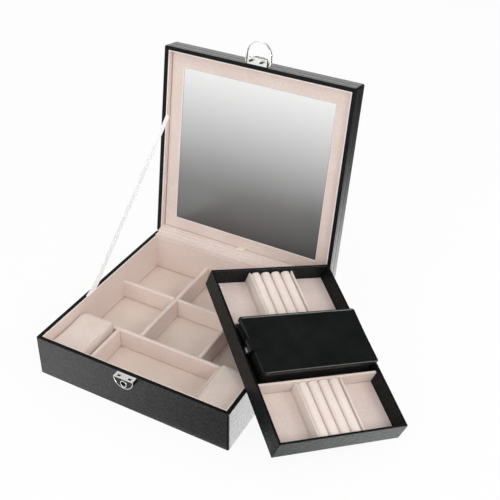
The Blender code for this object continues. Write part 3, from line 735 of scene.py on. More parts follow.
def seam(piece, height, outside):
    """A turned-in seam of the cover: a shallow groove round a shell's outside at one height."""
    for edge in (height - SEAM_HALF, height + SEAM_HALF):
        bisect(piece, (0.0, 0.0, edge), (0.0, 0.0, 1.0))

    def groove(middle, normal):
        return abs(middle.z - height) < SEAM_HALF and outside(middle)

    pick(piece, "FACE", groove)
    inset(SEAM_INSET, -SEAM_DIP)
    done()


def repaint(piece, finish, frame, test):
    """Give a finish of their own to the faces that pass a test in the frame they were drawn in."""
    piece.data.materials.append(finish)
    back = frame.inverted()
    turn = back.to_3x3()
    for face in piece.data.polygons:
        if test(back @ face.center / MM, turn @ face.normal):
            face.material_index = 1


def turn_edges(piece, edge, frame, way):
    """The cover's pressed, matter folds: the rim, which faces up or down, and the corners."""

    def folded(middle, normal):
        corner = abs(normal.z) < 0.3 and min(abs(normal.x), abs(normal.y)) > 0.15
        return corner or normal.z * way > 0.8

    repaint(piece, edge, frame, folded)


def base_shell(leather, edge):
    """The base's four boards under one leatherette cover, folded round softly rounded corners."""
    shell = tube("base_shell", (-HALF, -HALF, 0.0), (HALF, HALF, BASE_HEIGHT), BOARD)

    def corner(start, end):
        reach = min(abs(start.x), abs(start.y), abs(end.x), abs(end.y))
        return abs(start.z - end.z) > BOARD and reach > HALF - 0.1

    soften(shell, corner, CORNER_ROUND, 4)
    round_edges(shell, EDGE_ROUND, 4)
    nodes = ("base_front_board", "base_back_board", "base_left_board", "base_right_board")
    dress(shell, "base", leather, nodes)
    turn_edges(shell, edge, UPRIGHT, 1.0)


def base_lining(pink, pale):
    """The pink lining inside the base's walls, with a soft top edge and a creased foot, and a
    painted highlight on the left lining's top.
    """
    low = (-LINING_OUT, -LINING_OUT, LINING_FLOOR + FOOT_LIFT)
    band = tube("base_lining", low, (LINING_OUT, LINING_BACK, LINING_TOP), LINING)
    round_edges(band, LINING_ROUND)
    nodes = ("base_front_lining", "base_back_lining", "base_left_lining", "base_right_lining")
    dress(band, "base", pink, nodes)
    left = LINING - LINING_OUT
    # Painted highlight on the left lining's top
    repaint(band, pale, UPRIGHT, lambda middle, normal: normal.z > 0.5 and middle.x < left)


def well_floor(warm_lit_floor_pink):
    """The lined floor of the base, under all its bays."""
    piece = block("well_floor", *cad_corners("base_floor_lining"))
    round_edges(piece, PAD_ROUND)
    dress(piece, "base", warm_lit_floor_pink, ("base_floor_lining",))


def soft_board(name, node):
    """A velvet-wrapped board in a CAD board's place, rounded along its top and at its foot."""
    low, high = cad_corners(node)
    foot = low.z + FOOT_LIFT
    piece = block(name, (low.x, low.y, foot), high)

    def top_edge(start, end):
        return min(start.z, end.z) > high.z - SAME and (end - start).length > LONG_EDGE

    def foot_edge(start, end):
        return max(start.z, end.z) < foot + SAME and (end - start).length > LONG_EDGE

    soften(piece, top_edge, DIVIDER_TOP_ROUND, 5)
    soften(piece, foot_edge, FOOT_ROUND, 3)
    return piece


def dividers(pink):
    """Velvet-wrapped dividers: the long ones halved over the rear cross divider."""
    low, high = cad_corners("rear_cross_divider")
    middle = (LINING_FLOOR + high.z) / 2
    rear = soft_board("rear_cross_board", "rear_cross_divider")
    for side in ("left", "right"):
        node = side + "_long_divider"
        near, far = cad_corners(node)
        slot_low = (near.x - JOINT_GAP, low.y - PAST, middle)
        cut(rear, slot_low, (far.x + JOINT_GAP, high.y + PAST, high.z + PAST))
        piece = soft_board(side + "_long_board", node)
        notch_low = (near.x - PAST, low.y - JOINT_GAP, near.z - PAST)
        cut(piece, notch_low, (far.x + PAST, high.y + JOINT_GAP, middle + JOINT_GAP))
        dress(piece, "base", pink, (node,))
        node = side + "_short_divider"
        dress(soft_board(side + "_short_board", node), "base", pink, (node,))
    dress(rear, "base", pink, ("rear_cross_divider",))
    front = soft_board("front_cross_board", "front_cross_divider")
    dress(front, "base", pink, ("front_cross_divider",))


def stuff(piece):
    """Swell a stuffed piece with cloth pressure; no point moves further than the cap."""
    modify(piece, "REMESH", mode="VOXEL", voxel_size=PILLOW_VOXEL * MM)
    rest = [vertex.co.copy() for vertex in piece.data.vertices]
    cloth = piece.modifiers.new("Cloth", "CLOTH")
    cloth.settings.use_pressure = True
    cloth.settings.uniform_pressure_force = PILLOW_PRESSURE
    cloth.settings.effector_weights.gravity = 0.0
    for frame in range(1, CLOTH_FRAMES + 1):
        bpy.context.scene.frame_set(frame)
    select_only(piece)
    bpy.ops.object.modifier_apply(modifier=cloth.name)
    bpy.context.scene.frame_set(1)
    for vertex, start in zip(piece.data.vertices, rest):
        move = vertex.co - start
        if move.length > PILLOW_CAP * MM:
            vertex.co = start + move.normalized() * PILLOW_CAP * MM
    modify(piece, "SMOOTH", factor=0.5, iterations=2)


def pillow(name, node, outer, pink):
    """A watch pillow: a flat-topped stuffed block with one round corner, fuller than the CAD's."""
    low, high = cad_corners(node)
    near = (low.x + PILLOW_INSET, low.y + PILLOW_INSET, low.z)
    piece = block(name, near, (high.x - PILLOW_INSET, high.y - PILLOW_INSET, PILLOW_TOP))
    edge_x = outer * (max(abs(low.x), abs(high.x)) - PILLOW_INSET)

    def outer_corner(start, end):
        upright = abs(start.z - end.z) > LONG_EDGE
        rear = start.y > high.y - PILLOW_INSET - SAME
        return upright and rear and abs(start.x - edge_x) < SAME

    soften(piece, outer_corner, PILLOW_CORNER, 6)
    round_edges(piece, PILLOW_EDGE, 3, 40.0)
    stuff(piece)
    clear = PILLOW_CLEAR
    for vertex in piece.data.vertices:
        vertex.co.x = min(max(vertex.co.x, (low.x + clear) * MM), (high.x - clear) * MM)
        vertex.co.y = min(max(vertex.co.y, (low.y + clear) * MM), (high.y - clear) * MM)
        vertex.co.z = max(vertex.co.z, low.z * MM)
    modify(piece, "SUBSURF", levels=1, render_levels=1)
    dress(piece, node.replace("_watch", ""), pink, (node,), smooth=80.0)


def half_moon(name, low_y, high_y, middle_z, drop, shoulder, keep_low, half=LOCK_HALF):
    """A half-moon body from a cylinder cut across its middle, with straight shoulders."""
    place = (0.0, (low_y + high_y) / 2, middle_z)
    piece = cylinder(name, LARGE_ROUND, 1.0, high_y - low_y, place, ALONG_Y)
    piece.scale = (half, drop, 1.0)
    apply_place()
    up = 1.0 if keep_low else -1.0
    bisect(piece, (0.0, 0.0, middle_z), (0.0, 0.0, up), use_fill=True, clear_outer=True)
    pick(piece, "FACE", lambda middle, normal: normal.z * up > FACING)
    extrude((0.0, 0.0, shoulder * up))
    done()
    return piece


def recess_face(piece, back_y):
    """A raised rim round the half-moon's face, and a hollow behind it."""
    pick(piece, "FACE", lambda middle, normal: normal.y < -FACING)
    inset(LOCK_RIM)
    extrude((0.0, LOCK_RECESS, 0.0))
    done()

    def rear(middle, normal):
        return normal.y > FACING and abs(middle.y - back_y) < SAME

    pick(piece, "FACE", rear)
    inset(LOCK_SHELL)
    extrude((0.0, -(LOCK_DEPTH - LOCK_SHELL - LOCK_RECESS), 0.0))
    done()


def bore(piece, y):
    """Cut the key barrel's round hole through a plate."""
    place = (0.0, y, KEY_HEIGHT)
    carve(piece, cylinder("cutter", SMALL_ROUND, KEY_BORE, BORE_LENGTH, place, ALONG_Y))


def painted_dark_face(name, front, middle, drop, keep_low):
    """The dark plate in a half-moon's recess, inside its bright rim: a painted reflection of the
    darker room in front.
    """
    back = front + LOCK_RECESS - SAME
    edge = LOCK_RIM + INLAY_GAP
    low = back - LOCK_INLAY
    shoulder = LOCK_SHOULDER - edge
    return half_moon(name, low, back, middle, drop - edge, shoulder, keep_low, LOCK_HALF - edge)


def paint_sides_in_shade(piece, dark):
    """Paint the half-moon's curved side dark, as painted shade."""

    def side(middle, normal):
        return abs(normal.x) > 0.2 and abs(normal.y) < 0.3

    repaint(piece, dark, UPRIGHT, side)


def lock(chrome, dark):
    """The half-moon lock: a bright rim, a face with a painted dark reflection, curved sides in
    painted shade, a collared keyhole and a slotted ledge.
    """
    front = LOCK_BACK - LOCK_DEPTH
    middle = LOCK_TOP - LOCK_SHOULDER
    piece = half_moon("lock_plate", front, LOCK_BACK, middle, LOCK_DROP, LOCK_SHOULDER, True)
    recess_face(piece, LOCK_BACK)
    y = -HALF - PRONG_OUT
    half = PRONG_WIDTH / 2 + SLOT_CLEAR
    deep = PRONG_DEPTH / 2 + SLOT_CLEAR
    for x in (-PRONG_X, PRONG_X):
        slot_low = (x - half, y - deep, LOCK_TOP - SLOT_DEPTH)
        cut(piece, slot_low, (x + half, y + deep, LOCK_TOP + PAST))
    bore(piece, front + BORE_IN)
    round_edges(piece, LOCK_ROUND, 2, 40.0)
    dress(piece, "base", chrome, ("lock_case",))
    paint_sides_in_shade(piece, dark)
    face = painted_dark_face("lock_painted_dark_face", front, middle, LOCK_DROP, True)
    bore(face, front + BORE_IN)
    dress(face, "base", dark)
    collar = primitive(
        "lock_collar",
        bpy.ops.mesh.primitive_torus_add,
        major_segments=64,
        minor_segments=16,
        major_radius=COLLAR_RADIUS * MM,
        minor_radius=COLLAR_THICK * MM,
        location=(0.0, (front + LOCK_RECESS - LOCK_INLAY) * MM, KEY_HEIGHT * MM),
        rotation=(math.pi / 2, 0.0, 0.0),
    )
    apply_place()
    for vertex in collar.data.vertices:
        fall = vertex.co.z / MM - KEY_HEIGHT
        if fall < 0:
            vertex.co.z = (KEY_HEIGHT + fall * COLLAR_TAIL) * MM
    dress(collar, "base", chrome, smooth=80.0)


def hasp(chrome, dark):
    """The hasp on the lid: a half-moon like the lock's, with two notched prongs."""
    back = -2 * HALF - JOINT_GAP
    front = back - LOCK_DEPTH
    middle = HASP_LOW + LOCK_SHOULDER
    piece = half_moon("hasp_plate", front, back, middle, HASP_RISE, LOCK_SHOULDER, False)
    recess_face(piece, back)
    round_edges(piece, LOCK_ROUND, 2, 40.0)
    y = -2 * HALF - PRONG_OUT
    half = PRONG_WIDTH / 2
    notch = JOINT_GAP - PRONG_LENGTH / 2
    notch_half = PRONG_NOTCH_HEIGHT / 2
    prongs = []
    for x in (-PRONG_X, PRONG_X):
        low = (x - half, y - PRONG_DEPTH / 2, JOINT_GAP - PRONG_LENGTH)
        prong = block("prong", low, (x + half, y + PRONG_DEPTH / 2, HASP_LOW + PRONG_ROOT))
        cut(
            prong,
            (x + half - PRONG_NOTCH, y - PRONG_DEPTH, notch - notch_half),
            (x + half + PAST, y + PRONG_DEPTH, notch + notch_half),
        )
        round_edges(prong, PRONG_ROUND, 2)
        prongs.append(prong)
    dress(piece, "lid", chrome, ("hasp",), LID)
    paint_sides_in_shade(piece, dark)
    # The prongs are painted dark: painted shade
    dress(join(prongs, "hasp_prongs"), "lid", dark, (), LID)
    dress(painted_dark_face("hasp_painted_dark_face", front, middle, HASP_RISE, False), "lid", dark, (), LID)


def pull_ring(chrome):
    """The pull ring: a flat band bent to an arch, with straight legs to the pin."""
    pivot_y, pivot_z = RING_PIVOT
    bend = pivot_y - RING_REACH + RING_OUTER
    place = (0.0, bend, pivot_z)
    piece = cylinder(
        "ring_band", LARGE_ROUND, RING_OUTER, RING_BAND, place, end_fill_type="NOTHING"
    )
    apply_place()
    bisect(piece, (0.0, bend, 0.0), (0.0, 1.0, 0.0), clear_outer=True)
    pick(piece, "EDGE", lambda start, end: min(start.y, end.y) > bend - SAME)
    extrude((0.0, pivot_y + RING_BAND / 2 - bend, 0.0))
    done()
    thicken(piece, RING_THICK, -1.0)
    round_edges(piece, RING_ROUND, 3, 50.0)
    dress(piece, "ring", chrome, ("pull_ring",), LID)


def lid_shell(leather, edge):
    """The lid's tray-shaped shell, with the cover's seams round its sides."""
    shell = block("lid_shell", (-HALF, -2 * HALF, LID_START), (HALF, 0.0, LID_HEIGHT))
    soften(shell, lambda start, end: abs(start.z - end.z) > BOARD, CORNER_ROUND, 4)
    pick(shell, "FACE", lambda middle, normal: normal.z < -FACING)
    inset(BOARD)
    extrude((0.0, 0.0, LID_HEIGHT - LID_TOP_BOARD - LID_START))
    done()
    round_edges(shell, EDGE_ROUND, 4)

    def outside(middle):
        return max(abs(middle.x), abs(middle.y + HALF)) > HALF - BOARD / 2

    for height in LID_SEAMS:
        seam(shell, LID_START + height, outside)
    nodes = ("lid_top_board", "lid_front_wall", "lid_back_wall", "lid_left_wall", "lid_right_wall")
    dress(shell, "lid", leather, nodes, LID)
    turn_edges(shell, edge, LID, -1.0)


def lid_lining(pink, pale):
    """The pink lining on three of the lid's walls, with a soft edge at the rim and a painted
    highlight along that edge.
    """
    low = (-LINING_OUT, -LINING_OUT - HALF, LID_LINING_LOW)
    band = block("lid_lining", low, (LINING_OUT, -LID_LINING_BACK, LID_LINING_HIGH))
    pick(band, "FACE", lambda middle, normal: abs(normal.z) > FACING or normal.y > FACING)
    bpy.ops.mesh.delete(type="FACE")
    done()
    thicken(band, LID_LINING, -1.0)
    round_edges(band, LINING_ROUND)
    nodes = ("lid_front_lining", "lid_left_lining", "lid_right_lining")
    dress(band, "lid", pink, nodes, LID)
    # Painted highlight on the lining's edge at the rim
    repaint(band, pale, LID, lambda middle, normal: normal.z < -0.5)


def mirror_surround(pink, pale):
    """The velvet-covered board round the mirror, with a square window and a painted highlight on
    the window's edges.
    """
    low = (-MIRROR_X, -MIRROR_FAR, MIRROR_FACE)
    piece = block("mirror_surround", low, (MIRROR_X, -MIRROR_NEAR, MIRROR_FACE + MIRROR_FRAME))
    cut(
        piece,
        (-WINDOW_X, -WINDOW_FAR, MIRROR_FACE - PAST),
        (WINDOW_X, -WINDOW_NEAR, MIRROR_FACE + MIRROR_FRAME + PAST),
    )
    round_edges(piece, MIRROR_ROUND)
    dress(piece, "lid", pink, ("mirror_frame",), LID)
    middle_y = (WINDOW_NEAR + WINDOW_FAR) / 2

    def window(middle, normal):
        inside = max(abs(middle.x), abs(middle.y + middle_y)) < WINDOW_X + 1.0
        return inside and abs(normal.z) < 0.97

    # Painted highlight on the window's edges
    repaint(piece, pale, LID, window)


def lid_point(length, depth):
    """World Y and Z, in millimetres, of a point on the open lid."""
    point = LID @ Vector((0.0, -length * MM, depth * MM))
    return point.y / MM, point.z / MM


def pleat(x, gone):
    """How far the gusset's cloth stands up between its creases, in millimetres."""
    wander = PLEAT_WANDER * math.sin(x / PLEAT_WAVE)
    return PLEAT_RISE * abs(math.sin(math.pi * gone / PLEAT_PITCH + wander))


def raised(point, rise):
    """A (y, z) point of the gusset moved out along the cloth's mean normal."""
    return point[0] - PLEAT_LEAN * rise, point[1] + rise


def strip(name, path, half_width, across, thick, run=None):
    """A cloth strip along a path of (y, z) points, spread across X, pleated where it has a run."""
    piece = grid(name, across, len(path) - 1)
    for vertex in piece.data.vertices:
        step = round((vertex.co.y + 0.5) * (len(path) - 1))
        x = vertex.co.x * 2 * half_width
        y, z = path[step]
        if run is not None:
            y, z = raised(path[step], pleat(x, run[step]))
        vertex.co = Vector((x, y, z)) * MM
    thicken(piece, thick)
    return piece


def between(points, steps):
    """Points along a polyline, with that many steps on each leg."""
    path = [points[0]]
    for first, second in zip(points, points[1:]):
        for step in range(1, steps + 1):
            share = step / steps
            path.append(tuple(a + (b - a) * share for a, b in zip(first, second)))
    return path


def path_length(path):
    """A path's length in millimetres."""
    return sum(math.dist(first, second) for first, second in zip(path, path[1:]))


def gusset(pink):
    """The pink cloth inside the hinge, pleated where it folds as the lid closes."""
    corners = [*GUSSET_BASE, *(lid_point(*point) for point in GUSSET_LID)]
    path = between(corners, GUSSET_STEPS)
    run = [path_length(path[: step + 1]) for step in range(len(path))]
    piece = strip("gusset_cloth", path, GUSSET_HALF, GUSSET_ACROSS, GUSSET_THICK, run)
    settle(piece, pink, UPRIGHT, 30.0)
    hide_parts("hinge_gusset")
    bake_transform(piece)


def ribbon(sheer):
    """The sheer ribbon that stops the lid, tucked behind the linings at both ends."""
    foot = Vector((0.0, RIBBON_FOOT, BASE_HEIGHT))
    head = Vector((0.0, *lid_point(RIBBON_HEAD, 0.0)))
    along = (head - foot).normalized()
    across = Vector((0.0, -along.z, along.y)) * RIBBON_HALF
    foot = foot - along * RIBBON_LAP
    head = head + along * RIBBON_TOP_LAP
    width, turns = RIBBON_TWIST
    piece = grid("ribbon_strip", RIBBON_ACROSS, RIBBON_STEPS)
    for vertex in piece.data.vertices:
        share = vertex.co.y + 0.5
        side = vertex.co.x * 2.0
        splay = 1.0 + RIBBON_SPLAY * max(0.0, 1.0 - share / RIBBON_SPLAY_END)
        point = foot.lerp(head, share) + across * side * splay
        tuck = min(1.0, max(0.0, (RIBBON_TUCK - point.z) / RIBBON_TUCK_REACH))
        twist = width * side * math.sin(share * turns) * (1 - tuck)
        point.x = RIBBON_X + (RIBBON_BEHIND - RIBBON_X) * tuck + twist
        vertex.co = point * MM
    thicken(piece, RIBBON_THICK)
    settle(piece, sheer, UPRIGHT, 60.0)
    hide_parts("ribbon_stay")
    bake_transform(piece)


def spine(leather):
    """The leatherette hinge cloth outside, glued up the base's back and the lid's."""
    bend = lid_point(-SPINE_OUT, 0.0)
    knee = (HALF + SPINE_OUT, bend[1] - SPINE_BEND)
    corners = [(knee[0], SPINE_LOW), knee, lid_point(-SPINE_OUT, SPINE_HIGH)]
    path = between(corners, SPINE_STEPS)
    piece = strip("spine_cloth", path, SPINE_HALF, SPINE_ACROSS, SPINE_THICK)
    settle(piece, leather, UPRIGHT, 60.0)
    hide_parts("hinge_spine")
    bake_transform(piece)


def pull_loop(cream):
    """The folded ribbon loop under the mirror, by which its board lifts out."""
    piece = grid("pull_loop", LOOP_ACROSS, len(LOOP_PATH) - 1)
    for vertex in piece.data.vertices:
        y, z = LOOP_PATH[round((vertex.co.y + 0.5) * (len(LOOP_PATH) - 1))]
        vertex.co = Vector((vertex.co.x * 2 * LOOP_HALF, y, z)) * MM
    modify(piece, "SUBSURF", levels=2, render_levels=2)
    thicken(piece, LOOP_THICK)
    dress(piece, "lid", cream, ("pull_tab",), LID, smooth=80.0)


def tray_shell(leather, edge):
    """The tray's four walls under one leatherette cover."""
    shell = tube("tray_shell", (0.0, 0.0, 0.0), (TRAY_WIDTH, TRAY_LENGTH, TRAY_HEIGHT), TRAY_WALL)
    round_edges(shell, TRAY_ROUND)
    nodes = ("tray_front_wall", "tray_rear_wall", "tray_left_wall", "tray_right_wall")
    dress(shell, "tray", leather, nodes, TRAY)
    turn_edges(shell, edge, TRAY, 1.0)


def tray_pads(pink):
    """Soft-edged velvet pads on the tray's floor, one in each bay."""
    wall = TRAY_WALL + TRAY_FIT
    rear = TRAY_LENGTH - BAY_FAR
    bays = (
        ("front", wall, wall, BAY_FAR - TRAY_FIT),
        ("middle", PAD_HIDDEN, BAY_FAR + PARTITION + TRAY_FIT, rear - PARTITION - TRAY_FIT),
        ("rear", wall, rear + TRAY_FIT, TRAY_LENGTH - wall),
    )
    for side, end, near, far in bays:
        low = (end, near, PARTITION_LOW)
        piece = block(side + "_bay_pad", low, (TRAY_WIDTH - end, far, PAD_TOP))
        round_edges(piece, PAD_ROUND)
        dress(piece, "tray", pink, ("tray_" + side + "_pad",), TRAY)


def tray_partitions(pink):
    """The velvet-wrapped boards on each side of the travel case."""
    wall = TRAY_WALL + TRAY_FIT
    for side, near in (("front", BAY_FAR), ("rear", TRAY_LENGTH - BAY_FAR - PARTITION)):
        low = (wall, near, PARTITION_LOW)
        high = (TRAY_WIDTH - wall, near + PARTITION, PARTITION_TOP)
        piece = block(side + "_partition_board", low, high)
        top = PARTITION_TOP - SAME
        soften(piece, lambda start, end: min(start.z, end.z) > top, PARTITION_ROUND, 4)
        dress(piece, "tray", pink, ("tray_" + side + "_partition",), TRAY)


def ring_rolls(pink):
    """Foam ring rolls wrapped in velvet: four rolls between two lips, on one slab."""
    near = BAY_NEAR + TRAY_FIT
    far = BAY_FAR - ROLL_SHORT
    top = ROLL_FOOT + ROLL_HEIGHT
    floor = ROLL_FOOT + ROLL_BASE
    end = ROLL_START + ROLL_PITCH * ROLL_COUNT + ROLL_SLOT + 2 * ROLL_LIP

    def at_top(start, end):
        return min(start.z, end.z) > top - SAME

    def raised_block(name, start, width, shift):
        low = (start, near + shift, floor - ROLL_SUNK)
        return block(name, low, (start + width, far + shift, top))

    for side, shift in (("front", 0.0), ("rear", TRAY_LENGTH - near - far)):
        slab_low = (ROLL_START, near + shift, ROLL_FOOT)
        pieces = [block("slab", slab_low, (end, far + shift, floor))]
        for start in (ROLL_START, end - ROLL_LIP):
            lip = raised_block("lip", start, ROLL_LIP, shift)
            soften(lip, at_top, LIP_ROUND, 4)
            pieces.append(lip)
        first = ROLL_START + ROLL_LIP + ROLL_SLOT
        roll = raised_block("roll", first, ROLL_PITCH - ROLL_SLOT, shift)
        soften(roll, lambda a, b: at_top(a, b) and abs(a.x - b.x) < SAME, ROLL_ROUND, 8)
        round_edges(roll, ROLL_END_ROUND, 3, 50.0)
        for step in range(1, ROLL_COUNT):
            again = roll.copy()
            again.data = roll.data.copy()
            bpy.context.collection.objects.link(again)
            again.location.x += step * ROLL_PITCH * MM
            pieces.append(again)
        pieces.append(roll)
        bpy.context.view_layer.update()
        piece = join(pieces, side + "_roll_block")
        dress(piece, "tray", pink, (side + "_ring_rolls",), TRAY, smooth=50.0)


def case_share(vertex):
    """How far along the travel case and how far back a vertex lies, from 0 to 1."""
    place = vertex.co / MM
    return (place.x - CASE_START) / CASE_LENGTH, (place.y - CASE_NEAR) / CASE_WIDTH


def case_pouch(smooth_leather):
    """The travel case's hollow body, drawn out at its rear left, where the flap hangs on it."""
    low = (CASE_START + CASE_INSET, CASE_NEAR + CASE_INSET, CASE_LOW)
    high = (CASE_END - CASE_INSET, CASE_FAR - CASE_INSET, CASE_LOW + CASE_BODY)
    body = block("case_pouch", low, high)
    soften(body, lambda start, end: abs(start.z - end.z) > CASE_BODY / 2, CASE_CORNER, 6)
    pick(body, "FACE", lambda face, normal: normal.z > FACING)
    inset(CASE_WALL)
    extrude((0.0, 0.0, -(CASE_BODY - CASE_WALL)))
    done()
    round_edges(body, BODY_ROUND, 2, 50.0)
    for vertex in body.data.vertices:
        along, back = case_share(vertex)
        vertex.co.x -= BODY_EAR * max(0.0, 1.0 - along) ** 4 * max(0.0, back) ** 2 * MM
    dress(body, "case", smooth_leather, ("case_body",), TRAY)


def case_cover(smooth_leather, edge):
    """The travel case's flap: a turned edge, a low crown, and an ear at its rear left."""
    low = (CASE_START, CASE_NEAR, FLAP_LOW)
    flap = block("case_cover", low, (CASE_END, CASE_FAR, FLAP_LOW + FLAP_THICK))
    for left, near, corner in FLAP_CORNERS:

        def upright(start, end):
            in_x = start.x < CASE_START + SAME if left else start.x > CASE_END - SAME
            in_y = start.y < CASE_NEAR + SAME if near else start.y > CASE_FAR - SAME
            return abs(start.z - end.z) > FLAP_THICK / 2 and in_x and in_y

        soften(flap, upright, corner, 5)
    pick(flap, "FACE", lambda face, normal: normal.z > FACING)
    inset(FLAP_HEM)
    inset(*FLAP_HEM_DIP)
    done()
    round_edges(flap, FLAP_TURN, 4, 50.0)
    for step in range(FLAP_STEPS):
        share = (step + 0.5) / FLAP_STEPS
        bisect(flap, (0.0, CASE_NEAR + CASE_WIDTH * share, 0.0), (0.0, 1.0, 0.0))
        bisect(flap, (CASE_START + CASE_LENGTH * share, 0.0, 0.0), (1.0, 0.0, 0.0))
    for vertex in flap.data.vertices:
        along, back = case_share(vertex)
        upper = (vertex.co.z / MM - FLAP_LOW) / FLAP_THICK
        dome = max(0.0, math.sin(math.pi * along) * math.sin(math.pi * back)) ** 0.5
        lift = FLAP_LIFT + FLAP_REAR_LIFT * max(0.0, back) ** 3 + FLAP_CROWN * dome * (upper > 0.5)
        vertex.co.z += lift * (FLAP_FOOT_LIFT + (1.0 - FLAP_FOOT_LIFT) * upper) * MM
        vertex.co.x -= FLAP_EAR * max(0.0, 1.0 - along) ** 4 * max(0.0, back) ** 2 * MM
    dress(flap, "flap", smooth_leather, ("case_flap",), TRAY)
    repaint(flap, edge, TRAY, lambda face, normal: normal.y > 0.15)


def case_closing(smooth_leather, chrome):
    """The tab that closes the travel case over its left end, and the snap on it."""
    middle = TRAY_LENGTH / 2
    over = FLAP_LOW + FLAP_THICK + FLAP_LIFT + TAB_OVER
    last = len(TAB_PATH) - 1
    tab = grid("closing_tab", TAB_ACROSS, last)
    for vertex in tab.data.vertices:
        step = round((vertex.co.y + 0.5) * last)
        u, n = TAB_PATH[step]
        width = TAB_WIDTH * (TAB_NARROW if step in (0, last) else 1.0)
        vertex.co = Vector((CASE_START + u, middle + vertex.co.x * width, over + n)) * MM
    modify(tab, "SUBSURF", levels=2, render_levels=2)
    thicken(tab, TAB_THICK)
    dress(tab, "flap", smooth_leather, ("case_tab",), TRAY, smooth=60.0)

    u, n = SNAP_PLACE
    place = (CASE_START + u, middle, over + n)
    turn = (0.0, math.pi / 2 - TAB_SLOPE, 0.0)
    snap = cylinder("snap_cap", SMALL_ROUND, SNAP_RADIUS, SNAP_THICK, place, turn)
    apply_place()
    pick(snap, "FACE", lambda face, normal: normal.x < -FACING)
    inset(SNAP_RIM)
    inset(*SNAP_DISH)
    done()
    round_edges(snap, SNAP_ROUND, 3, 40.0)
    dress(snap, "flap", chrome, ("case_snap",), TRAY)


def travel_case(smooth_leather, edge, chrome):
    """The travel case, closed, in the tray's middle bay."""
    case_pouch(smooth_leather)
    case_cover(smooth_leather, edge)
    case_closing(smooth_leather, chrome)


def lamp(name, place, aim, size, power):
    """A square area lamp aimed at a point."""
    light = bpy.data.lights.new(name, "AREA")
    light.shape = "SQUARE"
    light.size = size
    light.energy = power
    holder = bpy.data.objects.new(name, light)
    bpy.context.scene.collection.objects.link(holder)
    holder.location = place
    holder.rotation_euler = (Vector(aim) - Vector(place)).to_track_quat("-Z", "Y").to_euler()


def white_for_lens(tree):
    """1 where the camera, a reflection or a glass sees the surface, and 0 where it lights."""
    path = add(tree, "LightPath")
    seen = maths(tree, "MAXIMUM", path.outputs["Is Camera Ray"], path.outputs["Is Glossy Ray"])
    return maths(tree, "MAXIMUM", seen, path.outputs["Is Transmission Ray"])


def backdrop(tree):
    """White at the horizon, brighter where it gleams in gloss, and dark overhead."""
    path = add(tree, "LightPath")
    away = add(tree, "TexCoord").outputs["Generated"]
    rise = add(tree, "SeparateXYZ", links={"Vector": away})
    x = rise.outputs["X"]
    near = span(tree, x, HORIZON_X, (HORIZON_LEFT, HORIZON_RIGHT))
    far = span(tree, x, HORIZON_FAR_X, (0.0, HORIZON_FAR_RIGHT))
    horizon = either(tree, path.outputs["Is Glossy Ray"], 1.0, maths(tree, "ADD", near, far))
    return span(tree, rise.outputs["Z"], CEILING_Z, (horizon, CEILING_DARK))


def paper_gleam(tree, place):
    """The paper's brightness: 1 for the camera; gloss sees it fall off along the box's front, and
    a lit strip beside the box, which shines in its right side and the lid's."""
    path = add(tree, "LightPath")
    split = add(tree, "SeparateXYZ", links={"Vector": place})
    x = split.outputs["X"]
    y = split.outputs["Y"]
    rises = (0.0, 1.0)
    falls = (1.0, 0.0)

    def times(first, second):
        return maths(tree, "MULTIPLY", first, second)

    def plus(first, second):
        return maths(tree, "ADD", first, second)

    left = times(
        span(tree, x, PAPER_LEFT_X, (PAPER_LEFT, 0.0)), span(tree, y, PAPER_LEFT_Y, rises)
    )
    left = plus(left, span(tree, y, PAPER_FRONT_Y, (PAPER_FRONT, 0.0)))
    right = times(
        span(tree, x, PAPER_FAR_X, (0.0, PAPER_FAR_RIGHT)), span(tree, y, PAPER_FAR_Y, falls)
    )
    paper = plus(plus(left, right), span(tree, y, PAPER_DIM_Y, (PAPER_DIM, 0.0)))
    beside = maths(tree, "SUBTRACT", x, times(y, STRIP_LEAN))
    across = maths(tree, "ABSOLUTE", maths(tree, "SUBTRACT", beside, STRIP_MIDDLE))
    width = span(tree, across, STRIP_WIDTH, (STRIP_BRIGHT, 0.0))
    front = span(tree, y, STRIP_FRONT_Y, rises)
    back = times(
        span(tree, y, STRIP_BACK_Y, falls, smooth=False), span(tree, y, STRIP_END_Y, falls)
    )
    gleam = plus(paper, times(width, times(front, back)))
    return either(tree, path.outputs["Is Camera Ray"], gleam, 1.0)


def studio():
    """A pale floor, a soft white room and plain lamps."""
    scene = bpy.context.scene
    scene.view_settings.view_transform = "Standard"
    world = bpy.data.worlds.new("soft_room")
    scene.world = world
    world.use_nodes = True
    tree = world.node_tree
    tree.nodes.clear()
    strength = either(tree, white_for_lens(tree), ROOM_LIGHT, backdrop(tree))
    sky = add(tree, "Background", links={"Color": WHITE, "Strength": strength})
    add(tree, "OutputWorld", links={"Surface": sky.outputs[0]})

    finish, tree, place = start_material("studio_floor")
    paper = add(tree, "BsdfDiffuse", links={"Color": linear("#f4f4f4")})
    links = {"Color": WHITE, "Strength": paper_gleam(tree, place)}
    glow = add(tree, "Emission", links=links)
    share = maths(tree, "MULTIPLY", white_for_lens(tree), FLOOR_GLOW)
    links = {0: share, 1: paper.outputs[0], 2: glow.outputs[0]}
    end_material(tree, add(tree, "MixShader", links=links))
    floor = primitive("studio_floor", bpy.ops.mesh.primitive_plane_add, size=FLOOR_SIZE)
    floor.data.materials.append(finish)

    for settings in LAMPS:
        lamp(*settings)


def camera():
    """The photograph's viewpoint."""
    lens = bpy.data.cameras.new("photo_camera")
    lens.sensor_width = SENSOR
    lens.lens = CAMERA_LENS
    eye = bpy.data.objects.new("photo_camera", lens)
    bpy.context.scene.collection.objects.link(eye)
    eye.matrix_world = (
        Matrix.Translation(CAMERA_PLACE)
        @ Matrix.Rotation(CAMERA_YAW, 4, "Z")
        @ Matrix.Rotation(math.pi / 2 - CAMERA_PITCH, 4, "X")
        @ Matrix.Rotation(CAMERA_ROLL, 4, "Z")
    )
    bpy.context.scene.camera = eye


